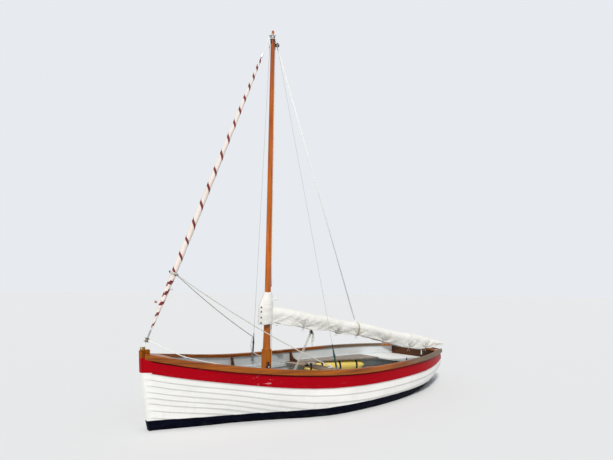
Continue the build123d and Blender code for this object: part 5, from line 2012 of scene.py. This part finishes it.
    def main_sheet(self) -> None:
        """The mainsheet: blocks on the boom and on the case, four parts between them and a tail."""
        rope, aft = self.locker["sheet_rope"], self.cover.aft
        high = self.cover.at(self.sheet_at, 0.0, self.cover.level(self.sheet_at)[1] - 0.030)
        low = Vector(self.sheet_foot)
        Block(self.locker, high, Z_AXIS, 0.026, "boom_block", Vector((1, 0.2, 0))).build(Body.BOOM)
        Block(self.locker, low, -Z_AXIS, 0.026, "case_block", Vector((1, 0.2, 0))).build(Body.HULL)
        becket = [high + Z_AXIS * 0.030, high + Z_AXIS * 0.06]
        adopt(tube("sheet_becket", becket, 0.005, self.locker["rope"], 10), Body.BOOM, "white_rope")
        across = (high - low).normalized().cross(Y_AXIS).normalized()
        parts = []
        for off, twist in ((0.010, 0.0), (-0.010, 0.0), (0.005, 0.009), (-0.006, -0.009)):
            start = low + across * off + Y_AXIS * twist
            end = high + across * off * 0.9 + Y_AXIS * twist
            parts.append(tube("part", [start.lerp(end, k / 24) for k in range(25)], 0.0046, rope, 10))
        falls = joined("main_sheet", parts)
        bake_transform(falls)
        LOG.info("main_sheet: blended between hull and boom")
        tail = [high + aft * out - Z_AXIS * down
                for out, down in ((0.012, 0), (0.022, 0.05), (0.012, 0.12), (0.02, 0.19))]
        loop = [high + aft * (0.034 + 0.012 * math.cos(a)) - Z_AXIS * (0.075 + 0.062 * math.sin(a)) for a in angles(36)]
        parts = [tube("tail", fair_line(tail, 0.01), 0.0052, rope, 10), tube("tail", loop, 0.0044, rope, 10)]
        adopt(joined("sheet_tail", parts), Body.BOOM, "white_rope")

    def furling_line(self) -> None:
        """The furling line, from the drum over the port rail's lead and aft to its cleat."""
        lead, steel = Vector(self.furling_lead_at), self.locker["stainless"]
        line = sagging(self.sail.at(0.108, 0.0245, math.pi * 0.62), lead, 0.006, 8)
        inside = [lead, (1.9, 0.352, 0.705), (1.5, 0.545, 0.615), (1.05, 0.715, 0.535), (0.86, 0.765, 0.500)]
        self.rope("furling_line", line + fair_line(inside, 0.04)[1:], self.thin)
        profile = [(0.007, -0.004), (0.012, -0.004), (0.013, 0), (0.012, 0.004), (0.007, 0.004), (0.006, 0),
                   (0.007, -0.004)]
        parts = [turned("lead", profile, lead, Vector((1, -0.5, 0.2)), steel, 20),
                 shaped_block("lead", (2.125, 0.272, 0.756), (0.034, 0.020, 0.008), steel, 0.002)]
        adopt(joined("furling_lead", parts), Body.HULL, "steel")


@dataclass
class Bags(Assembly):
    """Two buoyancy bags under the benches, pinched at their ends and held by straps.

    Args:
        fore, aft: The ends of the port bag's middle line.
        radius: Its radius when full.
        segments, around: How many faces it has along and round it.
        strap_at: Where the straps are, as shares of its length.
        strap_wide, strap_thick: The width and the thickness of their webbing.
        strap_around: How many faces a strap has round the bag.
    """

    fore: Point = (-0.700, 0.800, 0.2057)
    aft: Point = (-1.600, 0.560, 0.2057)
    radius: float = 0.098
    segments: int = 90
    around: int = 56
    strap_at: tuple[float, ...] = (0.25, 0.55, 0.84)
    strap_wide: float = 0.034
    strap_thick: float = 0.002
    strap_around: int = 48

    def build(self) -> None:
        """Makes both bags with their straps."""
        for side in Side:
            bag = self.bag(side)
            adopt(bag, Body.HULL, "yellow_vinyl", "buoyancy_bags")
            adopt(self.straps(side), Body.HULL, "black_plastic")

    def middle(self, side: Side) -> tuple[Vector, Vector, float]:
        """A bag's middle line.

        Args:
            side: Which bag.

        Returns:
            Its foot, its direction and its length.
        """
        ahead = (Vector(self.aft) - Vector(self.fore)).normalized()
        start, end = Vector(self.fore) - ahead * self.radius, Vector(self.aft) + ahead * self.radius
        for place in (start, end, ahead):
            place.y *= side.value
        return start, ahead, (end - start).length

    def width(self, share: float) -> tuple[float, float]:
        """How thick a bag is: round, with flat pinched ends.

        Args:
            share: The share of its length.

        Returns:
            Its half width and its half height there.
        """
        end = min(share, 1 - share)
        full = math.sqrt(max(0.0, 1 - max(0.0, 1 - end / 0.10) ** 2))
        pinch = min(1.0, end / 0.12)
        return self.radius * (0.35 + 0.65 * full), self.radius * full * (0.55 + 0.45 * pinch) + 0.003

    def bag(self, side: Side) -> Piece:
        """One bag as a skin with folds that run in from its ends and under its straps.

        Args:
            side: Which bag.

        Returns:
            The piece.
        """
        start, ahead, length = self.middle(side)
        across = ahead.cross(Z_AXIS).normalized()
        rows = []
        for i in range(self.segments + 1):
            share = i / self.segments
            end = min(share, 1 - share)
            wide, tall = self.width(share)
            waist = sum(math.exp(-(((share - place) / 0.02) ** 2)) for place in self.strap_at)
            row = []
            for angle in angles(self.around)[:-1]:
                pleat = math.cos(angle * 9) * 0.004 * math.exp(-end / 0.09)
                place = Vector((share * 9, math.cos(angle) * 1.6, math.sin(angle) * 1.6 + side.value))
                grow = 1 + (pleat + noise.noise(place) * 0.004) / self.radius - 0.07 * waist
                point = start + ahead * length * share
                point = point + across * wide * grow * math.cos(angle) + Z_AXIS * tall * grow * math.sin(angle)
                row.append((point, (share * length, angle * self.radius, 0)))
            rows.append(row)
        return skin(f"bag_{side.name.lower()}", rows, self.locker["yellow"], ring=True, capped=True)

    def straps(self, side: Side) -> Piece:
        """The black straps round one bag.

        Args:
            side: Which bag.

        Returns:
            The piece.
        """
        start, ahead, length = self.middle(side)
        across = ahead.cross(Z_AXIS).normalized()
        parts = []
        for share in self.strap_at:
            wide, tall = (size * 0.93 + 0.004 for size in self.width(share))
            rows = []
            for j in range(3):
                middle = start + ahead * (length * share + self.strap_wide * (j / 2 - 0.5))
                rows.append([
                    (middle + across * wide * math.cos(a) + Z_AXIS * tall * math.sin(a),
                     (j * 0.017, a / math.tau * 0.6, 0))
                    for a in angles(self.strap_around)[:-1]
                ])
            parts.append(skin("strap", rows, self.locker["black_strap"], ring=True))
            thicken(parts[-1], self.strap_thick)
        return joined(f"bag_straps_{side.name.lower()}", parts)


@dataclass
class Studio:
    """The pale ground at the waterline, the soft lamps and the camera at the photograph's angle.

    Args:
        spot: Where the camera stands.
        heading, pitch, roll: Where it looks, in radians.
        lens, sensor: Its focal length and the picture's width, in millimetres.
        far: The greatest distance that it sees.
        ground_radius, ground_sides: The ground's radius and the corners of its rim.
        plank_inset: How far inside the planks' face the ground ends.
        slice_long: The length of hull that gives one corner of the cut-out.
        sky_light, sky_shown: The sky's colour and strength as it lights the boat, and as it is seen.
        sun_colour, sun_power, sun_spread: The sun's colour, strength and width in degrees.
        sun_from: The direction that it shines from.
    """

    spot: Point = (4.5556, 4.8876, 1.5364)
    heading: float = math.atan2(-0.73625, -0.66582)
    pitch: float = 0.12117
    roll: float = 0.0103557
    lens: float = 27.015
    sensor: float = 36.0
    far: float = 400.0
    ground_radius: float = 90.0
    ground_sides: int = 96
    plank_inset: float = 0.005
    slice_long: float = 0.06
    sky_light: tuple[Colour, float] = ((0.93, 0.96, 1.0), 0.53)
    sky_shown: tuple[Colour, float] = ((0.80, 0.83, 0.87), 1.0)
    sun_colour: Colour = (1.0, 0.97, 0.92)
    sun_power: float = 2.15
    sun_spread: float = 9.0
    sun_from: Point = (0.62, 0.58, 0.95)

    def build(self) -> None:
        """Makes ground, light and camera."""
        self.ground()
        self.light()
        self.camera()

    def waterline(self) -> list[tuple[float, float]]:
        """The hull's half outline at the waterline, a little inside the planks' face.

        Returns:
            Pairs of x and y, from the stern forward.
        """
        widest: dict[int, tuple[float, float]] = {}
        for node in [*strake_names(), "stem", "hog", "keel"]:
            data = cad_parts[node].data
            for edge in data.edges:
                a, b = (data.vertices[i].co for i in edge.vertices)
                if (a.z < 0) == (b.z < 0):
                    continue
                cross = a.lerp(b, a.z / (a.z - b.z))
                key = round(cross.x / self.slice_long)
                if abs(cross.y) > widest.get(key, (0, 0))[1]:
                    widest[key] = (cross.x, abs(cross.y))
        rows = [widest[key] for key in sorted(widest)]
        return [(x, max(0.004, y - self.plank_inset)) for x, y in rows]

    def ground(self) -> None:
        """A wide disc with the hull's own outline cut out, so that the open boat stays open inside."""
        half = self.waterline()
        outline = half + [(x, -y) for x, y in half[::-1]]
        wide = self.ground_radius
        rim = [(wide * math.cos(a), wide * math.sin(a)) for a in angles(self.ground_sides)[:-1]]
        data = bmesh.new()
        edges = []
        for loop in (outline, rim):
            verts = [data.verts.new((x, y, 0)) for x, y in loop]
            edges += [data.edges.new((a, b)) for a, b in zip(verts, verts[1:] + verts[:1])]
        bmesh.ops.triangle_fill(data, edges=edges, use_beauty=True, use_dissolve=False, normal=Z_AXIS)
        mesh = settled("ground", data)
        mesh.materials.append(StudioGround().build())
        linked("ground", mesh)
        LOG.info("ground: %d faces", len(mesh.polygons))

    def light(self) -> None:
        """A soft sun from ahead and to port, and an even pale sky that looks paler than it lights."""
        world = bpy.data.worlds.new("studio")
        bpy.context.scene.world = world
        world.use_nodes = True
        tree = world.node_tree
        tree.nodes.clear()
        rays = tree.nodes.new("ShaderNodeLightPath").outputs
        seen = rays["Is Camera Ray"]
        for ray in ("Is Glossy Ray", "Is Transmission Ray"):
            either = tree.nodes.new("ShaderNodeMath")
            either.operation = "MAXIMUM"
            tree.links.new(seen, either.inputs[0])
            tree.links.new(rays[ray], either.inputs[1])
            seen = either.outputs[0]
        mix = tree.nodes.new("ShaderNodeMixShader")
        tree.links.new(seen, mix.inputs[0])
        for place, (colour, power) in enumerate((self.sky_light, self.sky_shown), 1):
            sky = tree.nodes.new("ShaderNodeBackground")
            sky.inputs[0].default_value = (*colour, 1)
            sky.inputs[1].default_value = power
            tree.links.new(sky.outputs[0], mix.inputs[place])
        tree.links.new(mix.outputs[0], tree.nodes.new("ShaderNodeOutputWorld").inputs[0])
        lamp = bpy.data.lights.new("sun", "SUN")
        lamp.energy, lamp.angle, lamp.color = self.sun_power, math.radians(self.sun_spread), self.sun_colour
        sun = linked("sun", lamp)
        sun.rotation_mode = "QUATERNION"
        sun.rotation_quaternion = Vector(self.sun_from).to_track_quat("Z", "Y")

    def camera(self) -> None:
        """The camera where the photographer stood."""
        flat = math.cos(self.pitch)
        ahead = Vector((flat * math.cos(self.heading), flat * math.sin(self.heading), math.sin(self.pitch)))
        right = ahead.cross(Z_AXIS).normalized()
        up = right.cross(ahead)
        tilted = right * math.cos(self.roll) + up * math.sin(self.roll)
        up = up * math.cos(self.roll) - right * math.sin(self.roll)
        data = bpy.data.cameras.new("camera")
        data.lens, data.sensor_width, data.clip_end = self.lens, self.sensor, self.far
        eye = linked("camera", data)
        turn = Matrix((tilted, up, -ahead)).transposed().to_4x4()
        eye.matrix_world = Matrix.Translation(Vector(self.spot)) @ turn
        bpy.context.scene.camera = eye
        bpy.context.scene.view_settings.view_transform = "Standard"


def main() -> None:
    """Builds the boat's looks in order, sub-assembly by sub-assembly."""
    logging.basicConfig(level=logging.INFO, format="%(name)s: %(message)s")
    locker = Locker()
    Studio().build()
    Planking(locker).build()
    Woodwork(locker).build()
    Spars(locker).build()
    sail = HeadSail(locker)
    sail.build()
    cover = BoomCover(locker)
    cover.build()
    Rigging(locker, cover, sail).build()
    Bags(locker).build()
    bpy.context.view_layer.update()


if __name__ == "__main__":
    main()
